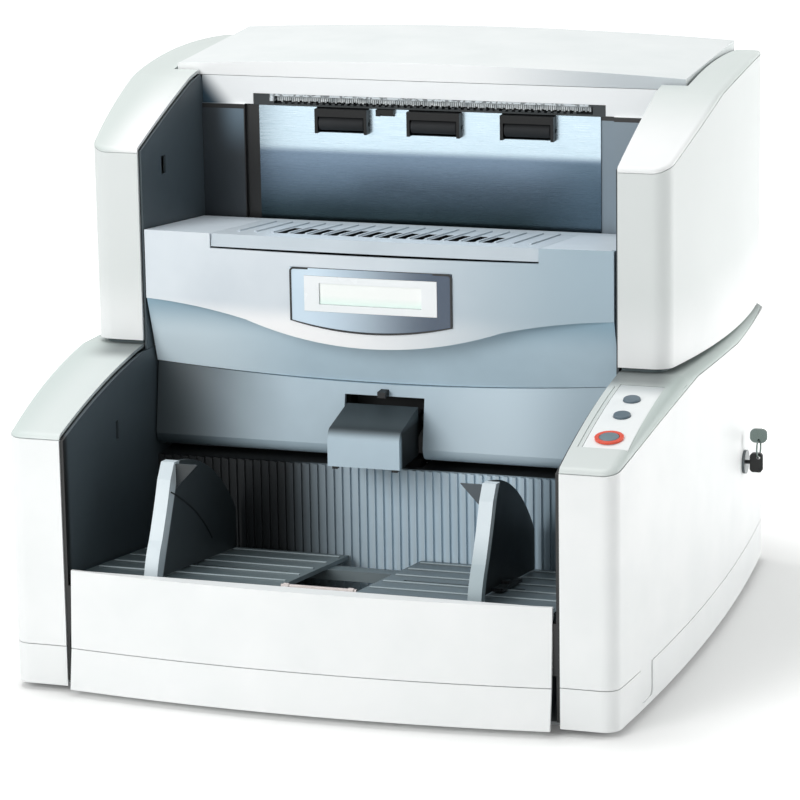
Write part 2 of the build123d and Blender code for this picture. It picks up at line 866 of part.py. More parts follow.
def upper_inner_wall():
    profile = upper_top_profile(200, wall_drop)
    low = arm_crest[1] - 5
    ledge_top = lid_end_z - lid_side - 2.5
    blank = side_prism(profile, cavity_half, cavity_half + upper_wall)
    plate = blank & block(cavity_half - 1, column_inner_half, upper_wall_front, lid_back_y - 2,
                          low, ledge_top)
    nose = blank & block(cavity_half - 1, column_inner_half, upper_wall_front, lid_front_y - 3,
                         low, upper_crest[0][1] + margin)
    ledge = block(cavity_half, lid_half + 0.8, lid_front_y + 6, lid_back_y - 2,
                  ledge_top - 2.5, ledge_top)
    sensor = block(cavity_half - 1, column_inner_half, upper_sensor_y[0], upper_sensor_y[1],
                   upper_sensor_z[0], upper_sensor_z[1])
    pin = rod_x(cavity_half, unit_half - 8, unit_pin_y, unit_pin_z, unit_pin_radius)
    return plate + nose + ledge + pin - sensor


def holder_places():
    return (holder_shift - holder_pitch, holder_shift, holder_shift + holder_pitch)


# Rear of the cavity: a fascia with the exit slot and a sheet behind the plate
def cavity_back():
    half = cavity_half - face_gap
    back = block(-half, half, fascia_y, fascia_y + wall, fascia_low_z, lid_end_z - lid_side - 0.5)
    back -= block(-exit_slot_half, exit_slot_half, fascia_y - 5, fascia_y + 10,
                  fascia_low_z - 5, exit_slot_top_z)
    sheet_y = fascia_y + plate_seat + plate_thickness
    back += block(-half, half, sheet_y, sheet_y + wall, plate_low_z, fascia_low_z - 1)
    for sign in (-1, 1):
        inner = plate_half + channel_width
        back += block(sign * inner, sign * half, fascia_y - 2, sheet_y + wall,
                      plate_low_z, fascia_low_z)
    return back - holder_notches()


# Notches in the plate and the sheet for the three exit roller holders
def holder_notches():
    notches = []
    side = holder_half + cover_gap
    for x in holder_places():
        notches.append(block(x - side, x + side, holder_front_y - 1, holder_back_y + 1,
                             holder_low_z - cover_gap, fascia_low_z - 1))
    return Compound(children=notches)


def exit_plate():
    low_y = fascia_y + plate_seat
    plate = block(-plate_half, plate_half, low_y, low_y + plate_thickness,
                  plate_low_z, fascia_low_z - 1)
    return plate - holder_notches()


# Dark frame round the exit slot with a row of small teeth on its lower rail
def slot_frame():
    slip = 0.3
    low = fascia_low_z - 0.7
    outer = block(-exit_slot_half + slip, exit_slot_half - slip, fascia_y + 0.5, fascia_y + 14,
                  low, exit_slot_top_z - slip)
    inner = block(-exit_slot_half + 20, exit_slot_half - 12, fascia_y - 2, fascia_y + 30,
                  fascia_low_z + 0.8, exit_slot_top_z - 2)
    frame = outer - inner
    teeth = []
    count = int(2 * (exit_slot_half - 24) / tooth_pitch)
    for index in range(count):
        x = (index - (count - 1) / 2) * tooth_pitch
        teeth.append(block(x - tooth_width / 2, x + tooth_width / 2, fascia_y + 1.5, fascia_y + 4.5,
                           low + 0.5, fascia_low_z + 2.2))
    return frame.fuse(*teeth)


# A bridge and an apron over each exit roller, cheeks beside it, and the latch
def roller_holders():
    high = fascia_low_z - 1.5
    solids = []
    for x in holder_places():
        holder = block(x - holder_half, x + holder_half, holder_front_y, holder_back_y, high - 3.2, high)
        holder += block(x - holder_half, x + holder_half, holder_front_y, holder_front_y + 2,
                        high - 7, high)
        for sign in (-1, 1):
            inner = x + sign * (exit_roller_half + 0.6)
            outer = x + sign * holder_half
            holder += block(inner, outer, holder_front_y, holder_back_y, holder_low_z, high)
        holder -= rod_x(x - 40, x + 40, exit_roller_y, exit_roller_z, exit_axle_radius + running)
        solids.append(holder)
    seat_y = fascia_y + plate_seat
    tab = block(latch_x[0], latch_x[1], seat_y - latch_reach, seat_y, latch_z[0], latch_z[1])
    tab -= block(latch_x[0] + 4, latch_x[1] + 1, seat_y - latch_reach - 1, seat_y - 2,
                 latch_z[0] - 1, latch_z[0] + 2)
    solids.append(tab)
    return Compound(children=solids)


def exit_roller(x):
    roller = rod_x(x - exit_roller_half, x + exit_roller_half, exit_roller_y, exit_roller_z,
                   exit_roller_radius)
    rims = roller.edges().filter_by(GeomType.CIRCLE)
    roller = fillet(rims, 1.0)
    return roller + rod_x(x - holder_half + 0.3, x + holder_half - 0.3, exit_roller_y,
                          exit_roller_z, exit_axle_radius)


# Curved inner guide that carries the sheet over to the exit slot
def turn_guide():
    back = fascia_y + 82.0
    radius = 46.0
    high = fascia_low_z + 0.3
    k = math.sqrt(0.5)
    thin = 2.5
    outer_mid = (back - radius + radius * k, high - radius + radius * k)
    less = radius - thin
    inner_mid = (back - radius + less * k, high - radius + less * k)
    face = outline((back, 335.0), (back, high - radius), (outer_mid, (back - radius, high)),
                   (fascia_y + 16, high), (fascia_y + 16, high - thin), (back - radius, high - thin),
                   (inner_mid, (back - thin, high - radius)), (back - thin, 335.0))
    half = cavity_half - face_gap
    guide_sheet = side_prism(face, -half, half)
    for bearing in bearing_blocks():
        guide_sheet += bearing
    return guide_sheet


def exit_drive_shaft():
    shaft = roller_shaft(cavity_half - 5, drive_y, drive_z, holder_places(), 18, drive_radius)
    pulley = rod_x(-cavity_half + 12, -cavity_half + 20, drive_y, drive_z, 8.4)
    return shaft + pulley


def bearing_blocks():
    solids = []
    for sign in (-1, 1):
        x = sign * (cavity_half - 5)
        bearing = block(x - 4.5, x + 4.5, drive_y - 8, drive_y + 8, fascia_low_z - 1, drive_z + 7)
        bearing -= rod_x(x - 10, x + 10, drive_y, drive_z, drive_shaft_radius + running)
        solids.append(bearing)
    return solids


def rear_panel():
    half = back_return_half - 0.5
    panel = block(-half, half, housing_depth - wall, housing_depth, 0.5, lid_axis_z + 0.4)
    cuts = []
    for row in range(3):
        for column in range(18):
            x = 60 + column * 8
            z = 300 + row * 34
            cuts.append(block(x, x + 4, housing_depth - 10, housing_depth + 5, z, z + 26))
    panel = panel.cut(*cuts)
    cut_from = housing_depth - margin
    cut_to = housing_depth + margin
    panel -= block(inlet_x - inlet_width / 2, inlet_x + inlet_width / 2, cut_from, cut_to,
                   inlet_z - inlet_height / 2, inlet_z + inlet_height / 2)
    panel -= block(rocker_x - rocker_half - 2, rocker_x + rocker_half + 2, cut_from, cut_to,
                   inlet_z - rocker_height - 2, inlet_z + rocker_height + 2)
    for sign in (-1, 1):
        near = rocker_x + sign * (rocker_half + 2)
        panel += block(near, near + sign * 3, rocker_pin_y - 4, housing_depth - 1,
                       inlet_z - 5, inlet_z + 5)
    panel -= rod_x(rocker_x - 20, rocker_x + 20, rocker_pin_y, inlet_z, rocker_pin_radius + running)
    panel -= block(port_x - port_width / 2, port_x + port_width / 2, cut_from, cut_to,
                   inlet_z - port_height / 2, inlet_z + port_height / 2)
    return panel


def panel_screws():
    places = [(x, z) for x in (-235, 235) for z in (20, 150, 285, 440)]
    solids = []
    for x, z in places:
        head = Location((x, housing_depth + 0.9, z), (90, 0, 0)) * Cylinder(3.2, 1.8)
        head -= block(x - 2.4, x + 2.4, housing_depth + 0.9, housing_depth + 3, z - 0.5, z + 0.5)
        head -= block(x - 0.5, x + 0.5, housing_depth + 0.9, housing_depth + 3, z - 2.4, z + 2.4)
        solids.append(head)
    return Compound(children=solids)


def power_inlet():
    x0 = inlet_x - inlet_width / 2 + 0.2
    x1 = inlet_x + inlet_width / 2 - 0.2
    z0 = inlet_z - inlet_height / 2 + 0.2
    z1 = inlet_z + inlet_height / 2 - 0.2
    body = block(x0, x1, housing_depth - 26, housing_depth + 0.8, z0, z1)
    hollow_face = outline((inlet_x - 11, inlet_z - 7), (inlet_x + 11, inlet_z - 7),
                          (inlet_x + 11, inlet_z + 2), (inlet_x + 6, inlet_z + 7),
                          (inlet_x - 6, inlet_z + 7), (inlet_x - 11, inlet_z + 2))
    body -= front_prism(hollow_face, housing_depth - 18, housing_depth + 5)
    for x, z in ((-6, -1.5), (6, -1.5), (0, 2.5)):
        body += block(inlet_x + x - 1, inlet_x + x + 1, housing_depth - 19, housing_depth - 5,
                      inlet_z + z - 2, inlet_z + z + 2)
    return body


def power_rocker():
    reach = 2.2
    face = outline((housing_depth - 8, inlet_z - 4), (housing_depth + reach, inlet_z - rocker_height),
                   ((housing_depth + 0.4, inlet_z), (housing_depth + reach, inlet_z + rocker_height)),
                   (housing_depth - 8, inlet_z + 4))
    rocker = side_prism(face, rocker_x - rocker_half, rocker_x + rocker_half)
    return rocker + rod_x(rocker_x - rocker_half - 3, rocker_x + rocker_half + 3,
                          rocker_pin_y, inlet_z, rocker_pin_radius)


def data_port():
    shell = block(port_x - port_width / 2 + 0.2, port_x + port_width / 2 - 0.2, housing_depth - 16,
                  housing_depth + 0.5, inlet_z - port_height / 2 + 0.2, inlet_z + port_height / 2 - 0.2)
    shell -= block(port_x - 4.2, port_x + 4.2, housing_depth - 10, housing_depth + 5,
                   inlet_z - 4, inlet_z + 4)
    shell += block(port_x - 2.8, port_x + 2.8, housing_depth - 11, housing_depth - 4.4,
                   inlet_z - 1.6, inlet_z + 1.6)
    return shell


# Lock and key
def lock_barrel():
    flange = rod_x(lock_face_x, lock_face_x + 2.5, lock_y, lock_z, lock_radius + 2)
    barrel = rod_x(lock_face_x - 24, lock_face_x, lock_y, lock_z, lock_radius)
    core = rod_x(lock_face_x - 18, lock_face_x + 5, lock_y, lock_z, key_blade + 0.2)
    return flange + barrel - core


def key():
    start = lock_face_x + 2.5
    blade = rod_x(lock_face_x - 14, start + 4, lock_y, lock_z, key_blade)
    bow = block(start + 3, start + 3 + key_bow_reach - 3, lock_y - 2.2, lock_y + 2.2,
                lock_z - key_bow_height / 2, lock_z + key_bow_height / 2)
    bow = fillet(bow.edges().filter_by(Axis.Y), 3.5)
    hole = Location((lock_face_x + key_hole_x, lock_y, lock_z + key_hole_rise), (90, 0, 0))
    bow -= hole * Cylinder(key_ring_wire + 1, 20)
    return blade + bow


def key_ring():
    ring_x = lock_face_x + key_hole_x
    ring_z = lock_z + key_hole_rise + key_ring_radius
    ring = Location((ring_x, lock_y, ring_z), (0, 90, 0)) * Torus(key_ring_radius, key_ring_wire)
    low = ring_z + key_ring_radius - 3
    tag = block(ring_x - 8, ring_x + 8, lock_y - 1.5, lock_y + 1.5, low, low + 13)
    tag = fillet(tag.edges().filter_by(Axis.Y), 5)
    return ring + tag


# Lid with its crown across the width
def lid_section(inset):
    half = lid_half - inset
    low = lid_end_z - lid_side
    top = lid_end_z - inset
    return outline((-half, low), (-half, top), ((0, top + lid_crown), (half, top)), (half, low))


def lid_sweep(face, y0, y1):
    rise = lid_rise * (y1 - y0) / (lid_back_y - lid_front_y)
    lift = lid_rise * (y0 - lid_front_y) / (lid_back_y - lid_front_y)
    length = math.hypot(y1 - y0, rise)
    start = Location((0, y0, lift)) * (Plane.XZ * face)
    return extrude(start, amount=length, dir=Vector(0, y1 - y0, rise).normalized())


def lid():
    outer = lid_sweep(lid_section(0), lid_front_y, lid_back_y)
    inner = lid_sweep(lid_section(lid_thickness), lid_front_y + wall, lid_back_y - wall)
    under = lid_sweep(outline((-lid_half + wall, 400), (lid_half - wall, 400),
                              (lid_half - wall, lid_end_z - lid_side + 2),
                              (-lid_half + wall, lid_end_z - lid_side + 2)),
                      lid_front_y + wall, lid_back_y - wall)
    shell = outer - inner - under
    for x in (-lid_hinge_x, lid_hinge_x):
        half = lid_knuckle_length / 2 - 0.3
        shell += block(x - half, x + half, lid_back_y - 1, lid_axis_y, lid_axis_z + 1.5,
                       lid_axis_z + lid_knuckle_radius + 7)
        shell += rod_x(x - half, x + half, lid_axis_y, lid_axis_z, lid_knuckle_radius)
        shell -= rod_x(x - half - 1, x + half + 1, lid_axis_y, lid_axis_z, lid_pin_radius + running)
        shell -= block(x - half - 1, x + half + 1, lid_axis_y + 0.5, lid_axis_y + 9,
                       lid_axis_z + lid_knuckle_radius, lid_axis_z + 20)
    return shell


def lid_hinges():
    solids = []
    for x in (-lid_hinge_x, lid_hinge_x):
        half = lid_knuckle_length / 2
        hinge = rod_x(x - half - 8, x + half + 8, lid_axis_y, lid_axis_z, lid_pin_radius)
        for sign in (-1, 1):
            near = x + sign * half
            far = x + sign * (half + 9)
            hinge += rod_x(near, far, lid_axis_y, lid_axis_z, lid_knuckle_radius)
            hinge += block(near, far, housing_depth, lid_axis_y + 2, lid_axis_z - 16, lid_axis_z)
        solids.append(hinge)
    return Compound(children=solids)


# Feed unit: front plate with the wave, band, lower panel, frame and top
def unit_front_face(z0, z1, depth0, depth1):
    strip = arced_strip(unit_half, unit_front_y + depth0, unit_bulge, depth1 - depth0)
    return plan_prism(strip, z0, z1)


def wave_face(top):
    turn_x = wave_turn[0]
    turn_z = wave_turn[1]
    half = unit_half
    side = (170.0, 297.6)
    return outline((-half, top), (-half, wave_end_z), ((-side[0], side[1]), (-turn_x, turn_z)),
                   ((0, wave_mid_z), (turn_x, turn_z)), ((side[0], side[1]), (half, wave_end_z)),
                   (half, top))


def window_face(grow):
    half = window_half + grow
    return outline((-half, window_side_z), (-half, window_top_z + grow), (half, window_top_z + grow),
                   (half, window_side_z), ((0, window_dip_z - grow), (-half, window_side_z)))


def top_z(y):
    return unit_top_front_z - math.tan(math.radians(tray_slope)) * (y - unit_front_y)


# The front's plan: bulging forward, flat behind
def front_plan(grow, step_in):
    half = unit_half + grow
    near = unit_front_y + step_in
    back = unit_front_y + front_plate_depth + grow
    return outline((-half, near), ((0, near - unit_bulge), (half, near)), (half, back), (-half, back))


def unit_front():
    far = unit_front_y + 60
    high = unit_top_front_z + 40
    blank = plan_prism(front_plan(0, 0), wave_mid_z - 20, high)
    hollow = plan_prism(front_plan(5, wall), wave_mid_z - 20, high)
    top_cut = side_prism(outline((150, top_z(150)), (far, top_z(far)), (far, high + 50), (150, high + 50)),
                         -cavity_half, cavity_half)
    front = (blank & front_prism(wave_face(high), 150, far)) - top_cut
    core = hollow & front_prism(wave_face(high).moved(Location((0, wall, 0))), 150, far)
    for sign in (-1, 1):
        core -= block(sign * (unit_half - wall), sign * (unit_half + margin), 0, far, 0, high + 50)
    core -= front_prism(window_face(4), 150, far)
    front -= core
    front -= front_prism(window_face(face_gap), 150, far)
    side = tray_half + 2 * face_gap
    recess = block(-side, side, 100, far, top_z(unit_front_y) - lip_height - 1, high)
    return front - recess


# Band below the wave, leaning back to the lower panel
def unit_band():
    half = unit_half - 0.1
    top = wave_end_z + 4
    top_y = unit_front_y + 2
    face = outline((unit_front_y + 1, top), (unit_front_y + 1, wave_end_z),
                   (band_foot_y, band_foot_z - seam_dip), (band_foot_y + 5, band_foot_z - seam_dip),
                   (top_y + 6, top))
    sheet = side_prism(face, -half, half)
    arc = outline((-unit_half, unit_bottom_z), (-unit_half, band_foot_z),
                  ((0, band_foot_z - seam_dip), (unit_half, band_foot_z)), (unit_half, unit_bottom_z))
    front = plan_prism(front_plan(cover_gap, -5), wave_mid_z - 20, top + 10)
    front = front & front_prism(wave_face(top + 10).moved(Location((0, -cover_gap, 0))), 150, 300)
    return sheet - front_prism(arc, 150, 300) - front


def unit_lower_panel():
    half = unit_half - 0.1
    strip = arced_strip(half, 0, lower_bulge, 26)
    top = band_foot_z - seam
    profile = outline((band_foot_y + 4, top), (band_foot_y - 1, top), (lower_face_y, lower_face_z),
                      ((lower_face_y + 4, lower_face_z - 8), (lower_face_y + 17, unit_bottom_z + 4)),
                      (lower_face_y + 20, unit_bottom_z + 4), (lower_face_y + 20, unit_bottom_z + 7),
                      ((lower_face_y + 7, lower_face_z - 5), (lower_face_y + 3, lower_face_z + 1)))
    sheet = side_prism(profile, -half, half)
    bulge_lift = outline((-half, 150), (-half, band_foot_z - seam),
                         ((0, band_foot_z - seam_dip - seam), (half, band_foot_z - seam)), (half, 150))
    sheet = sheet & front_prism(bulge_lift, 150, 300)
    recess = block(-recess_half, recess_half, 150, 300, 150, recess_top_z)
    post = block(-post_half, post_half, lower_face_y - 3, recess_back_y, recess_top_z, recess_top_z + post_rise)
    return sheet - recess - post


def unit_frame():
    half = unit_half - 0.2
    thin = 3.0
    back = unit_back_y - 1
    cheek_face = outline((unit_front_y + 14, top_z(unit_front_y + 14) - 4), (back, top_z(back) - 4),
                         (back, unit_bottom_z), (lower_face_y + 22, unit_bottom_z),
                         (lower_face_y + 22, 200.0), (band_foot_y + 7, band_foot_z),
                         (unit_front_y + 14, wave_end_z + 6))
    frame = side_prism(cheek_face, -half, -half + thin) + side_prism(cheek_face, half - thin, half)
    frame += block(-half, half, lower_face_y + 22, back, unit_bottom_z, unit_bottom_z + 3)
    frame += block(-half, half, back - 2.5, back, unit_bottom_z, top_z(back) - 6)
    frame -= block(-head_half - 6, head_half + 6, 200, 256, 140, 180)
    frame -= rod_x(-300, 300, unit_pin_y, unit_pin_z, unit_pin_radius + running)
    for sign in (-1, 1):
        lug = block(sign * (head_half + 4), sign * (head_half + 9), lower_face_y + 24, 262,
                    unit_bottom_z + 3, 222)
        frame += lug
    frame += block(-head_half - 9, head_half + 9, 256, 262, unit_bottom_z + 3, 222)
    frame += rod_x(-head_half - 5, head_half + 5, head_pin_y, head_pin_z, head_pin_radius)
    edge = head_half + 9
    frame += block(-edge, edge, lower_face_y + 24, 262, recess_top_z + 1, recess_top_z + 4)
    frame += block(-post_half + face_gap, post_half - face_gap, lower_face_y - 2, lower_face_y + 26,
                   recess_top_z + face_gap, recess_top_z + post_rise - face_gap)
    return frame


top_place = Location((0, unit_front_y, unit_top_front_z), (-tray_slope, 0, 0))


def unit_top():
    length = (unit_back_y - unit_front_y) / math.cos(math.radians(tray_slope))
    inset = wall + 2 * face_gap
    narrow = unit_half - inset
    step = front_plate_depth + 2 * face_gap
    face = outline((-unit_half, step), (-narrow, step), (-narrow, inset),
                   ((0, inset - unit_bulge), (narrow, inset)), (narrow, step),
                   (unit_half, step), (unit_half, length), (-unit_half, length))
    floor = tray_thickness + tray_slip
    half = tray_half + tray_slip
    top = plan_prism(face, -wall, 0)
    top += block(-half - wall, half + wall, 2, tray_length + wall, -floor - wall, -wall)
    top -= block(-half, half, -40, tray_length + tray_slip, -floor, 5)
    return top_place * top


# Tray plate with a downturned front lip, open slots and raised ribs
def pull_tray():
    side_y = -4.5
    middle_y = side_y - 6
    plate_face = outline((-tray_half, side_y), ((0, middle_y), (tray_half, side_y)),
                         (tray_half, tray_length), (-tray_half, tray_length))
    lip_face = outline((-tray_half, side_y), ((0, middle_y), (tray_half, side_y)),
                       (tray_half, side_y + lip_depth),
                       ((0, middle_y + lip_depth), (-tray_half, side_y + lip_depth)))
    tray = plan_prism(plate_face, -tray_thickness, 0) + plan_prism(lip_face, -lip_height, 0)
    slots = []
    middle = (slot_count - 1) / 2
    for index in range(slot_count):
        x = (index - middle) * slot_pitch
        slots.append(block(x - slot_width / 2, x + slot_width / 2, slot_start,
                           slot_start + slot_length, slot_floor - tray_thickness, 5))
    tray = tray.cut(*slots)
    ribs = []
    for index in range(-9, 9):
        x = (index + 0.5) * slot_pitch
        ribs.append(block(x - rib_half, x + rib_half, slot_start, tray_length - 6, -0.5, 1.2))
    return top_place * tray.fuse(*ribs)


def window_frame():
    blank = unit_front_face(200, 380, -1.0, wall + 2)
    frame = blank & front_prism(window_face(0), 150, 260)
    hole = front_prism(outline((-bezel_half, bezel_z[0]), (bezel_half, bezel_z[0]),
                               (bezel_half, bezel_z[1]), (-bezel_half, bezel_z[1])), 150, 260)
    return frame - hole


def window_bezel():
    blank = unit_front_face(200, 380, -1.4, wall + 2)
    bezel = blank & front_prism(outline((-bezel_half + 0.2, bezel_z[0] + 0.2),
                                        (bezel_half - 0.2, bezel_z[0] + 0.2),
                                        (bezel_half - 0.2, bezel_z[1] - 0.2),
                                        (-bezel_half + 0.2, bezel_z[1] - 0.2)), 150, 260)
    hole = front_prism(outline((-screen_half, screen_z[0]), (screen_half, screen_z[0]),
                               (screen_half, screen_z[1]), (-screen_half, screen_z[1])), 150, 260)
    return bezel - hole


def window_screen():
    blank = unit_front_face(200, 380, 0.4, wall + 2)
    return blank & block(-screen_half + 0.2, screen_half - 0.2, 150, 260,
                         screen_z[0] + 0.2, screen_z[1] - 0.2)


# Pick head: a cover open below, the arm that swings it and its roller
def head_profile(inset):
    i = inset
    return outline((head_front_y + i, head_low_z - 1 + (0 if i == 0 else -5)),
                   (head_front_y + i, head_face_top_z),
                   ((head_front_y + 1.5 + i, head_brow_z - 3 - i), (head_front_y + 6 + i, head_brow_z + 1 - i)),
                   (214.0, head_rear_top_z + 1 - i), (214.0, head_low_z - 1 + (0 if i == 0 else -5)))


def head_cover():
    outer = side_prism(head_profile(0), -head_half, head_half)
    inner = side_prism(head_profile(head_skin), -head_half + head_skin, head_half - head_skin)
    return outer - inner


def head_arm():
    half = head_half - head_skin
    ear_face = outline((pick_y - 14, pick_z + 5), (pick_y - 8, pick_z - 6), (pick_y + 8, pick_z - 7),
                       (head_pin_y, head_pin_z - 8),
                       ((head_pin_y + 8, head_pin_z), (head_pin_y, head_pin_z + 8)),
                       (pick_y - 4, pick_z + 15), (pick_y - 14, pick_z + 15))
    arm = side_prism(ear_face, -half, -half + 3) + side_prism(ear_face, half - 3, half)
    arm += block(-half, half, head_pin_y - 30, head_pin_y - 25, head_pin_z - 5, head_pin_z + 5)
    for x in (-head_half + 3.0, head_half - 8.0):
        arm += block(x, x + 5, head_front_y + 2.7, head_front_y + 8, head_low_z - 4, head_low_z + 12)
        side = -half if x < 0 else half - 3
        arm += block(side, side + 3, head_front_y + 2.7, pick_y - 12, head_low_z + 6, head_low_z + 12)
    arm -= rod_x(-60, 60, head_pin_y, head_pin_z, head_pin_radius + running)
    arm -= rod_x(-60, 60, pick_y, pick_z, 3.0 + running)
    return arm


def pick_roller():
    half = head_half - 7.5
    roller = rod_x(-half, half, pick_y, pick_z, pick_radius)
    return roller + rod_x(-head_half + 3.2, head_half - 3.2, pick_y, pick_z, 3.0)


# The whole set of pieces
skirt = side_skirt()
cover_plain, cover_lock = side_cover()
arm = arm_cover()
arm_console = arm - console_pocket() - console_holes() - console_groove()
low_wall = lower_inner_wall()
upper_cover = upper_side()
upper_cap = upper_arm()
high_wall = upper_inner_wall()
strip = plinth()
guide = guide_right()

keep("bottom_pan", bottom_pan())
keep("feet", feet())
keep("side_skirts", Compound(children=[skirt, mirrored(skirt)]))
keep("front_skirt", front_skirt())
keep("front_panel", front_panel())
keep("side_cover_right", cover_lock)
keep("side_cover_left", mirrored(cover_plain))
keep("arm_cover_right", arm_console)
keep("arm_cover_left", mirrored(arm))
keep("console_plate", console_plate())
keep("start_ring", start_ring())
keep("button_upper", push_button(button_y[0], button_radius))
keep("button_middle", push_button(button_y[1], button_radius))
keep("button_start", push_button(start_y, start_radius))
keep("lower_walls", Compound(children=[low_wall, mirrored(low_wall)]))
keep("ribbed_wall", ribbed_wall())
keep("feed_deck", feed_deck())
keep("feed_roller", roller_shaft(feed_roller_half + 12, feed_roller_y, feed_roller_z,
                                 feed_wheel_x, feed_wheel_half, feed_roller_radius))
keep("transport_roller", roller_shaft(transport_half + 3, transport_y, feed_roller_z,
                                      transport_x, transport_wheel_half, feed_roller_radius))
keep("scan_glass", scan_glass())
keep("lift_rods", lift_rods())
keep("feed_table", feed_table())
keep("table_carriage", table_carriage())
keep("guide_right", guide)
keep("guide_left", mirrored(guide))
keep("upper_side_right", upper_cover)
keep("upper_side_left", mirrored(upper_cover))
keep("upper_arm_right", upper_cap)
keep("upper_arm_left", mirrored(upper_cap))
keep("joint_strips", Compound(children=[strip, mirrored(strip)]))
keep("upper_walls", Compound(children=[high_wall, mirrored(high_wall)]))
keep("cavity_back", cavity_back())
keep("exit_plate", exit_plate())
keep("slot_frame", slot_frame())
keep("roller_holders", roller_holders())
keep("exit_rollers", Compound(children=[exit_roller(x) for x in holder_places()]))
keep("turn_guide", turn_guide())
keep("exit_drive_shaft", exit_drive_shaft())
keep("rear_panel", rear_panel())
keep("panel_screws", panel_screws())
keep("power_inlet", power_inlet())
keep("power_rocker", power_rocker())
keep("data_port", data_port())
keep("lock_barrel", lock_barrel())
keep("key", key())
keep("key_ring", key_ring())
keep("lid", lid())
keep("lid_hinges", lid_hinges())
keep("unit_front", unit_front())
keep("unit_band", unit_band())
keep("unit_lower_panel", unit_lower_panel())
keep("unit_frame", unit_frame())
keep("unit_top", unit_top())
keep("pull_tray", pull_tray())
keep("window_frame", window_frame())
keep("window_bezel", window_bezel())
keep("window_screen", window_screen())
keep("head_cover", head_cover())
keep("head_arm", head_arm())
keep("pick_roller", pick_roller())
save_all()
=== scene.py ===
import json
import math

import bmesh
import bpy
from mathutils import Matrix, Vector


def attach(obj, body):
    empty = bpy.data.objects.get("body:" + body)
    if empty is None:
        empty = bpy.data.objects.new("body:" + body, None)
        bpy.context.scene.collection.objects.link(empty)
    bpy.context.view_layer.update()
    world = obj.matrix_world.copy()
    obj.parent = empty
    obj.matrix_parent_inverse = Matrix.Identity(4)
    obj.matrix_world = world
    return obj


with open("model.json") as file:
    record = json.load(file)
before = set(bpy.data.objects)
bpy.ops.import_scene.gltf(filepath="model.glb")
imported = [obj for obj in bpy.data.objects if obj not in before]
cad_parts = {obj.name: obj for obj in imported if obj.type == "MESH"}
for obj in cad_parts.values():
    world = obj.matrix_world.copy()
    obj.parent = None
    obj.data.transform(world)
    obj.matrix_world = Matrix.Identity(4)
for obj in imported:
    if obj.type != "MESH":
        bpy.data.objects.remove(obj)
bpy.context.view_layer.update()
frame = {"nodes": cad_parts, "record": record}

parts = frame["nodes"]
print("frame:", len(parts), "nodes")

# Places below are in millimetres on the housing's own axes; this brings them to the frame
toOrigin = Vector((-0.0091709, -0.27, 0.006))


def place(x, y, z):
    return Vector((x, y, z)) / 1000 + toOrigin


def linearColour(hexText):
    values = [int(hexText[i:i + 2], 16) / 255 for i in (0, 2, 4)]
    return [v / 12.92 if v <= 0.04045 else ((v + 0.055) / 1.055) ** 2.4 for v in values] + [1.0]


# Adds a node with its settings, socket values and links
def addNode(tree, kind, settings=None, values=None, links=None):
    node = tree.nodes.new(kind)
    for key, value in (settings or {}).items():
        setattr(node, key, value)
    for key, value in (values or {}).items():
        node.inputs[key].default_value = value
    for key, socket in (links or {}).items():
        tree.links.new(socket, node.inputs[key])
    return node


def newMaterial(name):
    material = bpy.data.materials.new(name)
    material.use_nodes = True
    tree = material.node_tree
    shader = tree.nodes["Principled BSDF"]
    coords = addNode(tree, "ShaderNodeTexCoord").outputs["Object"]
    return material, tree, shader, coords


def setRamp(ramp, stops):
    for element, (position, hexText) in zip(ramp.color_ramp.elements, stops):
        element.position = position
        element.color = linearColour(hexText)


# Moulded plastic: faint clouding of the colour, a spark-eroded grain and a satin gloss.
# The real grain is near 0.1 mm; it is drawn coarser so that it shows.
def mouldedPlastic(name, hexText, shadeHex, roughness=0.42, cloudMm=70, grainMm=0.9, grainDepthMm=0.012,
                   specular=0.5, gloss=0.0):
    material, tree, shader, coords = newMaterial(name)
    cloud = addNode(tree, "ShaderNodeTexNoise", values={"Scale": 1000 / cloudMm, "Detail": 3.0, "Roughness": 0.55},
                    links={"Vector": coords})
    colour = addNode(tree, "ShaderNodeValToRGB", links={"Fac": cloud.outputs["Fac"]})
    setRamp(colour, ((0.3, shadeHex), (0.7, hexText)))
    sheen = addNode(tree, "ShaderNodeMapRange",
                    values={"From Min": 0.3, "From Max": 0.7, "To Min": roughness + 0.04, "To Max": roughness - 0.04},
                    links={"Value": cloud.outputs["Fac"]})
    grain = addNode(tree, "ShaderNodeTexNoise", values={"Scale": 1000 / grainMm, "Detail": 2.0},
                    links={"Vector": coords})
    bump = addNode(tree, "ShaderNodeBump", values={"Strength": 0.5, "Distance": grainDepthMm / 1000},
                   links={"Height": grain.outputs["Fac"]})
    tree.links.new(colour.outputs["Color"], shader.inputs["Base Color"])
    tree.links.new(sheen.outputs["Result"], shader.inputs["Roughness"])
    tree.links.new(bump.outputs["Normal"], shader.inputs["Normal"])
    shader.inputs["Specular IOR Level"].default_value = specular
    shader.inputs["Coat Weight"].default_value = gloss
    shader.inputs["Coat Roughness"].default_value = 0.08
    return material


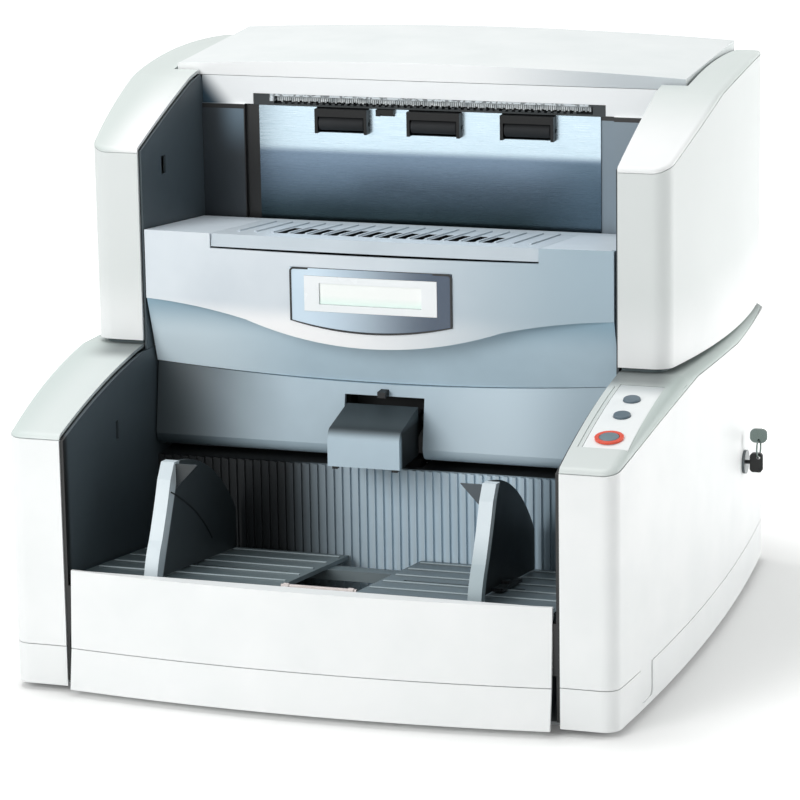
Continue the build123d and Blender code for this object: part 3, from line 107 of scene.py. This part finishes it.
# Brushed, rolled or ground steel: long fine scratches, drawn out along the axis with the small stretch
def brushedSteel(name, hexText, shadeHex, roughness=0.3, acrossMm=0.5, scratchMm=0.01, stretch=(1, 1, 1)):
    material, tree, shader, coords = newMaterial(name)
    mapping = addNode(tree, "ShaderNodeMapping", values={"Scale": stretch}, links={"Vector": coords})
    lines = addNode(tree, "ShaderNodeTexNoise", values={"Scale": 1000 / acrossMm, "Detail": 3.0},
                    links={"Vector": mapping.outputs["Vector"]})
    colour = addNode(tree, "ShaderNodeValToRGB", links={"Fac": lines.outputs["Fac"]})
    setRamp(colour, ((0.35, shadeHex), (0.65, hexText)))
    sheen = addNode(tree, "ShaderNodeMapRange", values={"To Min": roughness - 0.05, "To Max": roughness + 0.08},
                    links={"Value": lines.outputs["Fac"]})
    bump = addNode(tree, "ShaderNodeBump", values={"Strength": 0.3, "Distance": scratchMm / 1000},
                   links={"Height": lines.outputs["Fac"]})
    tree.links.new(colour.outputs["Color"], shader.inputs["Base Color"])
    tree.links.new(sheen.outputs["Result"], shader.inputs["Roughness"])
    tree.links.new(bump.outputs["Normal"], shader.inputs["Normal"])
    shader.inputs["Metallic"].default_value = 1.0
    return material


# Rises from nothing to its most between two places along a direction
def rampAlong(tree, direction, fromMm, toMm, most=1.0):
    coords = addNode(tree, "ShaderNodeTexCoord").outputs["Object"]
    along = addNode(tree, "ShaderNodeVectorMath", {"operation": "DOT_PRODUCT"}, {1: direction}, {0: coords})
    offset = toOrigin.dot(Vector(direction))
    return addNode(tree, "ShaderNodeMapRange", {"interpolation_type": "SMOOTHSTEP"},
                   {"From Min": fromMm / 1000 + offset, "From Max": toMm / 1000 + offset, "To Max": most},
                   {"Value": along.outputs["Value"]}).outputs["Result"]


# Mixes a colour over what a material's base colour shows so far
def mixOver(material, factor, hexText):
    tree = material.node_tree
    base = tree.nodes["Principled BSDF"].inputs["Base Color"]
    mixed = addNode(tree, "ShaderNodeMix", {"data_type": "RGBA"},
                    {7: linearColour(hexText)}, {0: factor, 6: base.links[0].from_socket})   # 6 and 7: the two colours
    tree.links.new(mixed.outputs[2], base)


# Blends a material's colour towards another one along a direction, within a second range if one is given
def blendAlong(material, direction, fromMm, toMm, hexText, strength=1.0, within=None):
    tree = material.node_tree
    factor = rampAlong(tree, direction, fromMm, toMm, strength)
    if within:
        factor = addNode(tree, "ShaderNodeMath", {"operation": "MULTIPLY"},
                         links={0: factor, 1: rampAlong(tree, *within)}).outputs[0]
    mixOver(material, factor, hexText)


materials = {
    # ABS from a spark-eroded mould: cool whites with a satin sheen
    "shell_white": mouldedPlastic("housingShellAbs", "EEF0F0", "E8EBEB"),
    "arm_white": mouldedPlastic("armCoverAbs", "E4E9E8", "DEE4E3"),
    "lid_white": mouldedPlastic("lidAbs", "E2E7E7", "DBE1E1"),
    "cap_white": mouldedPlastic("upperCapAbs", "F2F4F4", "ECEFEF"),
    "console_grey": mouldedPlastic("consoleAbs", "F6F9FA", "F0F4F5", roughness=0.35),
    # Polished ABS: a glossy orange red ring, and smooth blue grey keys
    "ring_orange": mouldedPlastic("startRingGlossAbs", "E8502E", "DC4424", roughness=0.25, gloss=0.3),
    "button_grey": mouldedPlastic("buttonAbs", "5A6B76", "4F606B", roughness=0.35),
    "button_cap": mouldedPlastic("startCapAbs", "6E8088", "64767E", roughness=0.35),
    # Matt ABS inside the bays: dark walls, pale ribs, black deck
    "wall_dark": mouldedPlastic("cavityWallAbs", "363F44", "2D353A", roughness=0.5),
    "rib_blue": mouldedPlastic("ribbedWallAbs", "D6EAF6", "CADEEA", roughness=0.45),
    "deck_grey": mouldedPlastic("feedDeckAbs", "2E3336", "272B2E", roughness=0.6),
    "back_grey": mouldedPlastic("cavityBackAbs", "2E363C", "272F35", roughness=0.45),
    "slot_dark": mouldedPlastic("slotFrameAbs", "2A3134", "21272A", roughness=0.55),
    "strip_dark": mouldedPlastic("jointStripAbs", "5D6B6E", "525F62", roughness=0.6),
    "holder_black": mouldedPlastic("rollerHolderAbs", "0B0D0E", "080A0B", roughness=0.35, specular=0.25),
    # Ground rubber: almost no sheen and a coarse grain
    "roller_rubber": mouldedPlastic("rollerRubber", "2A2C2E", "222426", roughness=0.75, grainMm=0.5,
                                    grainDepthMm=0.03, specular=0.3),
    "foot_rubber": mouldedPlastic("footRubber", "1E1F20", "181919", roughness=0.85, specular=0.3),
    # Float glass over the scan line, seen as a smooth grey green bar
    "clear_glass": mouldedPlastic("scanGlass", "9FB4B4", "93A9A9", roughness=0.08, gloss=0.5),
    # Table and guides: slate grey and pale grey ABS, slightly worn
    "table_grey": mouldedPlastic("feedTableAbs", "7E8B8F", "748185", roughness=0.42),
    "guide_grey": mouldedPlastic("paperGuideAbs", "CDD8DD", "C2CED4", roughness=0.4),
    "guide_left": mouldedPlastic("paperGuideLeftAbs", "CDD8DD", "C2CED4", roughness=0.4),
    # Steels: bright and fine for rods and plate, dull for the notch's bar, screws and port
    "rod_steel": brushedSteel("groundRodSteel", "B9BCC0", "A9ADB1", roughness=0.22, stretch=(1, 1, 0.02)),
    "bar_pale": brushedSteel("notchBarSteel", "A8A2A0", "989290", roughness=0.5, stretch=(0.05, 1, 1)),
    "plate_steel": brushedSteel("rolledPlateSteel", "B6C7D1", "A8BAC5", roughness=0.25, stretch=(0.02, 1, 1)),
    "screw_steel": brushedSteel("screwSteel", "9EA0A2", "8E9092"),
    "port_steel": brushedSteel("portShellSteel", "B4B6B8", "A4A6A8"),
    "lock_steel": brushedSteel("lockSatinSteel", "6A7072", "5E6466", roughness=0.3),
    "key_steel": brushedSteel("keyNickel", "7E8A86", "6E7A76", roughness=0.25),
    # Steel under a matt baked paint
    "frame_dark": mouldedPlastic("paintedFrameSteel", "15181A", "101213", roughness=0.55),
    "hinge_dark": mouldedPlastic("hingePaintedSteel", "6A6E70", "5E6264", roughness=0.5),
    "pan_grey": mouldedPlastic("bottomPanSteel", "8A8E90", "7E8284", roughness=0.5),
    # Black nylon of the inlet and of the key's bow
    "inlet_black": mouldedPlastic("inletNylon", "1A1B1C", "141516", roughness=0.5),
    "key_black": mouldedPlastic("keyBowNylon", "121413", "0C0E0D", roughness=0.4),
    # Conductive fibre in pale and dark tufts
    "tinsel_pale": mouldedPlastic("antistaticTinsel", "E6ECEE", "8E989C", roughness=0.35, cloudMm=5, specular=0.6),
    # Feed unit in pale blue greys, satin
    "unit_pale": mouldedPlastic("unitFrontAbs", "DDE5EB", "D3DCE3", roughness=0.4),
    "band_blue": mouldedPlastic("unitBandAbs", "C8DFEC", "BDD4E1", roughness=0.45),
    "panel_blue": mouldedPlastic("unitLowerPanelAbs", "BBD0DC", "B0C5D1", roughness=0.42),
    "top_pale": mouldedPlastic("unitTopAbs", "D3DEE6", "C9D4DC", roughness=0.4),
    "tray_pale": mouldedPlastic("pullTrayAbs", "C5D0D8", "BAC6CE", roughness=0.4),
    "head_grey": mouldedPlastic("pickHeadAbs", "CADEEA", "BFD3DF", roughness=0.5, specular=0.15),
    # Glossy display window: blue frame, white bezel, mint screen
    "window_blue": mouldedPlastic("windowFrameGlossAbs", "D2E6F4", "C6DCEC", roughness=0.22, gloss=0.4),
    "bezel_white": mouldedPlastic("windowBezelAbs", "F4F8FA", "EEF3F5", roughness=0.25, gloss=0.3),
    "screen_mint": mouldedPlastic("displayScreen", "FCFFFD", "F6FBF8", roughness=0.12, gloss=0.5),
}

# Changes of colour over a piece, most of them painted light and shade, a few the pieces' own colour: look, direction,
# from and to, colour, then strength and the range that bounds it
across, deep, high = (1, 0, 0), (0, 1, 0), (0, 0, 1)
guideSlant = (0, 1, -0.52)              # square to the guides' front edge
tableSlant = (0, 0.1338, 0.991)         # square to the table's top
shadeSlant = (-0.764, 0, -0.644)        # down to the left, as the shade on the fascia falls
fasciaOnly = (high, 451.5, 452)
blends = [
    # painted shade and reflection: the glossy window frame darker towards the right
    ("window_blue", across, -60, 62, "1A3853"),
    ("head_grey", high, 191, 202, "414A4E"),                                # painted shade: darker top behind the pale brow
    ("head_grey", deep, 160, 168, "0C0E0F", 1.0, (high, 204, 198)),
    # painted reflection on the steel plate: bright at the top, dark lower down and towards the right
    ("plate_steel", high, 416, 407, "68798A"),
    ("plate_steel", high, 405, 348, "29363B"),
    ("plate_steel", across, 80, 160, "4C5E6C", 0.75, (high, 413, 405)),
    # painted light and shade: the side strip beside the plate is dark at its left, lighter to the right
    ("back_grey", across, -206, -182, "7C93A3", 0.6, (high, 400, 446)),
    ("back_grey", across, -176.2, -175.8, "0B0D0E"),                        # black foam channel beside the plate
    ("back_grey", across, -162.6, -162.2, "8796A1"),
    ("back_grey", high, 447.4, 447.6, "0B0D0E"),                            # dark joint under the white fascia
    ("back_grey", high, 451.5, 452, "FAFDFE"),
    # painted shadow: a dark wedge falling across the white fascia from the left
    ("back_grey", shadeSlant, -153, -131, "2A4454", 1.0, fasciaOnly),
    # painted light and shade on the front: lighter towards its lower belly, darker towards the right
    ("unit_pale", high, 306, 284, "FDFEFF"),
    ("unit_pale", across, -60, 205, "A4B9C5"),
    # painted light and shade along the lower panel: lighter in the middle right, darker at the far right, and a
    # painted shadow at the left end
    ("panel_blue", across, 20, 110, "CCDFEA"),
    ("panel_blue", across, 110, 190, "A9BECA"),
    ("panel_blue", across, -70, -200, "3A454A"),
    # painted shadow on the ribs at the left, and painted shade darkening them at the far right
    ("rib_blue", across, 0, -100, "0F1417"),
    ("rib_blue", across, 110, 165, "7A8F9C"),
    # painted light at the band's left end, and painted shade under the wave along its top
    ("band_blue", across, -60, -180, "E4F6FF"),
    ("band_blue", high, 266, 304, "93B2C3"),
    # painted shade: the caps darker higher up towards the rear, and the left cap darker at its outer side
    ("cap_white", high, 448, 492, "CDD6D3"),
    ("cap_white", across, -225, -260, "C9D2CF"),
    # painted shade: the shell's upper sides darker higher up
    ("shell_white", high, 268, 330, "D8DDDC", 1.0, (deep, 150, 200)),
    ("arm_white", across, 100, 150, "CFD6D4"),
    ("arm_white", across, -100, -150, "D3DBD9"),
    ("arm_white", deep, 150, 178, "3E484B", 0.68),                          # painted shadow under the upper housing
    # painted shade on the arms' outer slopes
    ("arm_white", across, 257, 279, "AFBCB8"),
    ("arm_white", across, -236, -270, "C6D1CE"),
    ("console_grey", across, 212, 238, "ECF0F0"),
    # painted shadow on the console's rear under the upper housing
    ("console_grey", deep, 136, 168, "8E999C", 0.7),
    # painted light: the lid's front lip whiter than its top, with painted shade towards its right end
    ("lid_white", deep, 359.5, 358.6, "FBFDFD"),
    ("lid_white", across, 30, 190, "C8D0D4", 1.0, (deep, 359.5, 358.6)),
    # painted light on the cavity wall's left part, and painted shade along its front edge
    ("wall_dark", across, -100, -150, "434E54"),
    ("wall_dark", deep, 14, 6, "0A0C0D"),
    # painted shade: the screen tinted darker mint towards its lower edge
    ("screen_mint", high, 316, 306, "CFEFE4", 0.6),
    # painted shade: the table darker towards the left, and darker from the middle to the right
    ("table_grey", across, 60, -150, "4A565A"),
    ("table_grey", across, -10, 50, "5F6C72"),
    ("table_grey", tableSlant, 98.9, 99.4, "B9C8CC", 0.85),                 # worn tops of the table's ribs
    # painted shade: the right guide darker towards its bottom
    ("guide_grey", high, 160, 108, "82959B", 0.85),
    ("guide_grey", guideSlant, -29, -26, "181D1F"),                         # painted shade: side plates darker behind the front strips
    # painted shade: the left guide's side plate darker too
    ("guide_left", guideSlant, -29, -26, "252C2F"),
    ("guide_left", across, -137.9, -137.6, "20272A"),                       # grip tabs at the guides' top
    ("guide_grey", across, 137.9, 137.6, "39434A"),
]
for look, *blend in blends:
    blendAlong(materials[look], *blend)

# Slot frame: black ends and a pale, worn row of teeth between them
slotWear = {"colour": "DCE4E8", "specksPerMetre": 260, "least": 0.3,
            "within": ((across, -152, -150), (across, 152, 150), (high, 454.8, 455.4))}


def wearSlotFrame():
    tree = materials["slot_dark"].node_tree
    coords = addNode(tree, "ShaderNodeTexCoord").outputs["Object"]
    specks = addNode(tree, "ShaderNodeTexNoise", values={"Scale": slotWear["specksPerMetre"], "Detail": 1.0},
                     links={"Vector": coords})
    factor = addNode(tree, "ShaderNodeMapRange",
                     values={"From Min": 0.4, "From Max": 0.52, "To Min": slotWear["least"]},
                     links={"Value": specks.outputs["Fac"]}).outputs["Result"]
    for span in slotWear["within"]:
        factor = addNode(tree, "ShaderNodeMath", {"operation": "MULTIPLY"},
                         links={0: factor, 1: rampAlong(tree, *span)}).outputs[0]
    mixOver(materials["slot_dark"], factor, slotWear["colour"])


wearSlotFrame()

ownLooks = {"guide_left": "guide_left", "upper_arm_left": "cap_white", "upper_arm_right": "cap_white"}
for entry in frame["record"]["subparts"]:
    look = ownLooks.get(entry["node"], entry["material_slot"])
    for slot in parts[entry["node"]].material_slots:
        slot.material = materials[look]
print("materials:", len(materials))


def newPiece(name, shape, body, look):
    bmesh.ops.recalc_face_normals(shape, faces=shape.faces)
    mesh = bpy.data.meshes.new(name)
    shape.to_mesh(mesh)
    shape.free()
    piece = bpy.data.objects.new(name, mesh)
    bpy.context.collection.objects.link(piece)
    mesh.materials.append(materials[look])
    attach(piece, body)
    return piece


# Adds a box of a size in millimetres round a middle, turned as a matrix says
def addBox(shape, matrix, size):
    made = bmesh.ops.create_cube(shape, size=1.0)
    scale = Matrix.Diagonal((Vector(size) / 1000).to_4d())
    bmesh.ops.transform(shape, matrix=matrix @ scale, verts=made["verts"])


# Dark liners in the tray's slots, open at the top: a painted shadow that darkens the slots
shadowLiners = {"at": (0, 199, 363), "tilt": -6.05, "count": 13, "pitch": 15.8, "width": 9.3, "start": 24.2,
          "length": 51.6, "floor": -3.7, "top": -0.3, "wall": 0.3}


def traySlotShadowLiners():
    shape = bmesh.new()
    tray = Matrix.Translation(place(*shadowLiners["at"])) @ Matrix.Rotation(math.radians(shadowLiners["tilt"]), 4, "X")
    for index in range(shadowLiners["count"]):
        middle = Vector(((index - (shadowLiners["count"] - 1) / 2) * shadowLiners["pitch"],
                         shadowLiners["start"] + shadowLiners["length"] / 2, (shadowLiners["top"] + shadowLiners["floor"]) / 2)) / 1000
        addBox(shape, tray @ Matrix.Translation(middle),
               (shadowLiners["width"], shadowLiners["length"], shadowLiners["top"] - shadowLiners["floor"]))
    lids = [face for face in shape.faces if face.normal.z > 0.9]
    bmesh.ops.delete(shape, geom=lids, context="FACES_ONLY")
    piece = newPiece("traySlotShadowLiners", shape, "tray", "holder_black")
    thicken = piece.modifiers.new("wall", "SOLIDIFY")
    thicken.thickness = shadowLiners["wall"] / 1000
    thicken.offset = 0


traySlotShadowLiners()

# Dark rim round the display window, on the bulging front; its section is given as inset and lift
rim = {"half": 74.4, "top": 338.9, "side": 291.0, "sideShare": 0.3, "dip": 281.8, "corner": 4.0, "leastCorner": 0.6,
       "cornerSteps": 6, "lowSteps": 24, "frontY": 185.0, "frontRadius": 1661.0,
       "section": ((0, 0.9), (0, 1.5), (1.7, 1.5), (1.7, 0.9))}


def frontY(x):
    return rim["frontY"] + rim["frontRadius"] - math.sqrt(rim["frontRadius"] ** 2 - x * x)


def rimOutline(inset):
    half, top, r = rim["half"] - inset, rim["top"] - inset, max(rim["corner"] - inset, rim["leastCorner"])
    side, dip = rim["side"] + inset * rim["sideShare"], rim["dip"] + inset
    points = []
    for x, sign, start in ((half, 1, 0), (-half, -1, 90)):
        for step in range(rim["cornerSteps"] + 1):
            angle = math.radians(start + step * 90 / rim["cornerSteps"])
            points.append((x - sign * r + r * math.cos(angle), top - r + r * math.sin(angle)))
    for step in range(rim["lowSteps"] + 1):
        x = -half + step * 2 * half / rim["lowSteps"]
        points.append((x, dip + (side - dip) * (x / half) ** 2))
    return points


def windowRim():
    shape = bmesh.new()
    loops = []
    for inset, lift in rim["section"]:
        ring = [shape.verts.new(place(x, frontY(x) - lift, z)) for x, z in rimOutline(inset)]
        loops.append([shape.edges.new(pair) for pair in zip(ring, ring[1:] + ring[:1])])
    for near, far in zip(loops, loops[1:] + loops[:1]):
        bmesh.ops.bridge_loops(shape, edges=near + far)
    newPiece("windowRim", shape, "feed_unit", "frame_dark")


windowRim()

# Bar with two collars across the table's notch: each round by its x, radius and length
notch = {"y": 33, "z": 94.4, "segments": 32, "rounds": ((0, 2.4, 67.4), (-29, 3.2, 5), (29, 3.2, 5))}


def notchBar():
    shape = bmesh.new()
    turned = Matrix.Rotation(math.pi / 2, 4, "Y")
    for x, radius, length in notch["rounds"]:
        made = bmesh.ops.create_cone(shape, cap_ends=True, segments=notch["segments"], radius1=radius / 1000,
                                     radius2=radius / 1000, depth=length / 1000)
        bmesh.ops.transform(shape, matrix=Matrix.Translation(place(x, notch["y"], notch["z"])) @ turned,
                            verts=made["verts"])
    newPiece("notchBar", shape, "table", "bar_pale")


notchBar()

# Antistatic tinsel that hangs in the exit slot, with uneven tips and room for the sheets under it
tinsel = {"from": -145.5, "to": 153.5, "pitch": 2.0, "wide": 1.5, "thick": 0.4, "y": 363.0, "stagger": 0.3,
          "top": 459.9, "low": 454.9, "tips": ((0.55, 2.4), (0.35, 5.3))}


def slotTinsel():
    shape = bmesh.new()
    for index in range(int((tinsel["to"] - tinsel["from"]) / tinsel["pitch"])):
        low = tinsel["low"] + sum(reach * math.sin(index * turn) for reach, turn in tinsel["tips"])
        middle = place(tinsel["from"] + (index + 0.5) * tinsel["pitch"],
                       tinsel["y"] + tinsel["stagger"] * (index % 2), (tinsel["top"] + low) / 2)
        addBox(shape, Matrix.Translation(middle), (tinsel["wide"], tinsel["thick"], tinsel["top"] - low))
    newPiece("slotTinsel", shape, "housing", "tinsel_pale")


slotTinsel()

# Black line that curves down the inner side of each guide: painted shade in the moulded crease there
guideLine = {"x": 137.95, "proud": 0.35, "halfHigh": 0.55, "halfDeep": 0.33,
             "path": ((48, 166), (60, 160.4), (72, 154), (82, 148.4), (92, 142.4), (102, 136), (112, 128.8),
                      (121, 121.6), (129, 114.6), (137, 106.8), (144, 99)),
             "guides": (("right_guide", 1, "guide_grey"), ("left_guide", -1, "guide_grey"))}


def guideCreaseShades():
    path = guideLine["path"]
    for body, side, slotName in guideLine["guides"]:
        shape = bmesh.new()
        corners = [place(side * (guideLine["x"] - inward * guideLine["proud"]),
                         path[0][0] + up * guideLine["halfDeep"], path[0][1] + up * guideLine["halfHigh"])
                   for inward, up in ((0, -1), (1, -1), (1, 1), (0, 1))]
        start = end = shape.faces.new([shape.verts.new(corner) for corner in corners])
        for (y, z), (nextY, nextZ) in zip(path, path[1:]):
            made = bmesh.ops.extrude_face_region(shape, geom=[end])
            if end is not start:
                bmesh.ops.delete(shape, geom=[end], context="FACES_ONLY")
            end = next(item for item in made["geom"] if isinstance(item, bmesh.types.BMFace))
            bmesh.ops.translate(shape, vec=Vector((0, nextY - y, nextZ - z)) / 1000, verts=end.verts)
        newPiece("guideLine_" + body, shape, body, "holder_black")


guideCreaseShades()
print("pieces ready")

# Camera at the photograph's viewing angle: spot in millimetres, angles in degrees
cameraView = {"spot": (1001.0, -2835.1, 1006.6), "azimuth": 18.5, "elevation": 13.6, "roll": -1.08,
              "lens": 168.12, "sensor": 36, "shiftX": 0.0482, "shiftY": -0.0190, "clipEnd": 50}


def photoCamera():
    azimuth, elevation, roll = (math.radians(cameraView[key]) for key in ("azimuth", "elevation", "roll"))
    backward = Vector((math.sin(azimuth) * math.cos(elevation), -math.cos(azimuth) * math.cos(elevation),
                       math.sin(elevation)))
    sideways = (-backward).cross(Vector((0, 0, 1))).normalized()
    upward = sideways.cross(-backward)
    cameraX = sideways * math.cos(roll) + upward * math.sin(roll)
    cameraY = upward * math.cos(roll) - sideways * math.sin(roll)
    turn = Matrix((cameraX, cameraY, backward)).transposed().to_4x4()
    camera = bpy.data.objects.new("photoCamera", bpy.data.cameras.new("photoCamera"))
    camera.data.lens = cameraView["lens"]
    camera.data.sensor_width = cameraView["sensor"]
    camera.data.shift_x = cameraView["shiftX"]
    camera.data.shift_y = cameraView["shiftY"]
    camera.data.clip_end = cameraView["clipEnd"]
    camera.matrix_world = Matrix.Translation(place(*cameraView["spot"])) @ turn
    bpy.context.collection.objects.link(camera)
    bpy.context.scene.camera = camera


photoCamera()

# Floor, world and soft lamps: lengths in metres, lamps by name, spot, aim, size and power
studio = {"floorHalf": 30, "paper": "F4F5F4", "paperRoughness": 0.9, "paperSpecular": 0.1,
          "glowNear": (0.34, 0.08), "glowFar": (0.7, 0.85), "skyLight": 0.42,
          "lamps": (("keySoftbox", (-0.85, -2.05, 1.15), (0, 0, 0.25), 1.2, 24),
                    ("sideFill", (2.4, 1.4, 0.7), (0.2, 0, 0.25), 1.2, 33),
                    ("topSoftbox", (-0.5, 0.1, 2.4), (0, 0, 0.3), 1.4, 25))}
bpy.context.scene.view_settings.view_transform = "Standard"


# One for the rays that show the background: the camera's own, those off metal and gloss, and those through glass
def backgroundRays(tree):
    rays = addNode(tree, "ShaderNodeLightPath")
    direct = addNode(tree, "ShaderNodeMath", {"operation": "MAXIMUM"},
                     links={0: rays.outputs["Is Camera Ray"], 1: rays.outputs["Is Glossy Ray"]})
    return addNode(tree, "ShaderNodeMath", {"operation": "MAXIMUM"},
                   links={0: direct.outputs[0], 1: rays.outputs["Is Transmission Ray"]}).outputs[0]


# White paper that keeps the shadow near the scanner and brightens away from it
def paperFloor():
    shape = bmesh.new()
    bmesh.ops.create_grid(shape, x_segments=1, y_segments=1, size=studio["floorHalf"])
    mesh = bpy.data.meshes.new("floor")
    shape.to_mesh(mesh)
    shape.free()
    floor = bpy.data.objects.new("floor", mesh)
    bpy.context.collection.objects.link(floor)
    material, tree, shader, coords = newMaterial("floorPaper")
    shader.inputs["Base Color"].default_value = linearColour(studio["paper"])
    shader.inputs["Roughness"].default_value = studio["paperRoughness"]
    shader.inputs["Specular IOR Level"].default_value = studio["paperSpecular"]
    shader.inputs["Emission Color"].default_value = linearColour("FFFFFF")
    away = addNode(tree, "ShaderNodeVectorMath", {"operation": "LENGTH"}, links={0: coords})
    (nearAt, nearGlow), (farAt, farGlow) = studio["glowNear"], studio["glowFar"]
    level = addNode(tree, "ShaderNodeMapRange", {"interpolation_type": "SMOOTHSTEP"},
                    {"From Min": nearAt, "From Max": farAt, "To Min": nearGlow, "To Max": farGlow},
                    {"Value": away.outputs["Value"]})
    glow = addNode(tree, "ShaderNodeMath", {"operation": "MULTIPLY"},
                   links={0: backgroundRays(tree), 1: level.outputs["Result"]})
    tree.links.new(glow.outputs[0], shader.inputs["Emission Strength"])
    mesh.materials.append(material)


paperFloor()


# White where it is seen, and a soft light on the scanner
def studioWorld():
    world = bpy.data.worlds.new("studio")
    bpy.context.scene.world = world
    world.use_nodes = True
    background = world.node_tree.nodes["Background"]
    level = addNode(world.node_tree, "ShaderNodeMapRange", values={"To Min": studio["skyLight"], "To Max": 1.0},
                    links={"Value": backgroundRays(world.node_tree)})
    background.inputs["Color"].default_value = linearColour("FFFFFF")
    world.node_tree.links.new(level.outputs["Result"], background.inputs["Strength"])


studioWorld()

for name, spot, aim, size, power in studio["lamps"]:
    light = bpy.data.lights.new(name, "AREA")
    light.shape = "DISK"
    light.size = size
    light.energy = power
    lamp = bpy.data.objects.new(name, light)
    lamp.location = spot
    lamp.rotation_euler = (Vector(aim) - Vector(spot)).to_track_quat("-Z", "Y").to_euler()
    bpy.context.collection.objects.link(lamp)
print("stage ready")
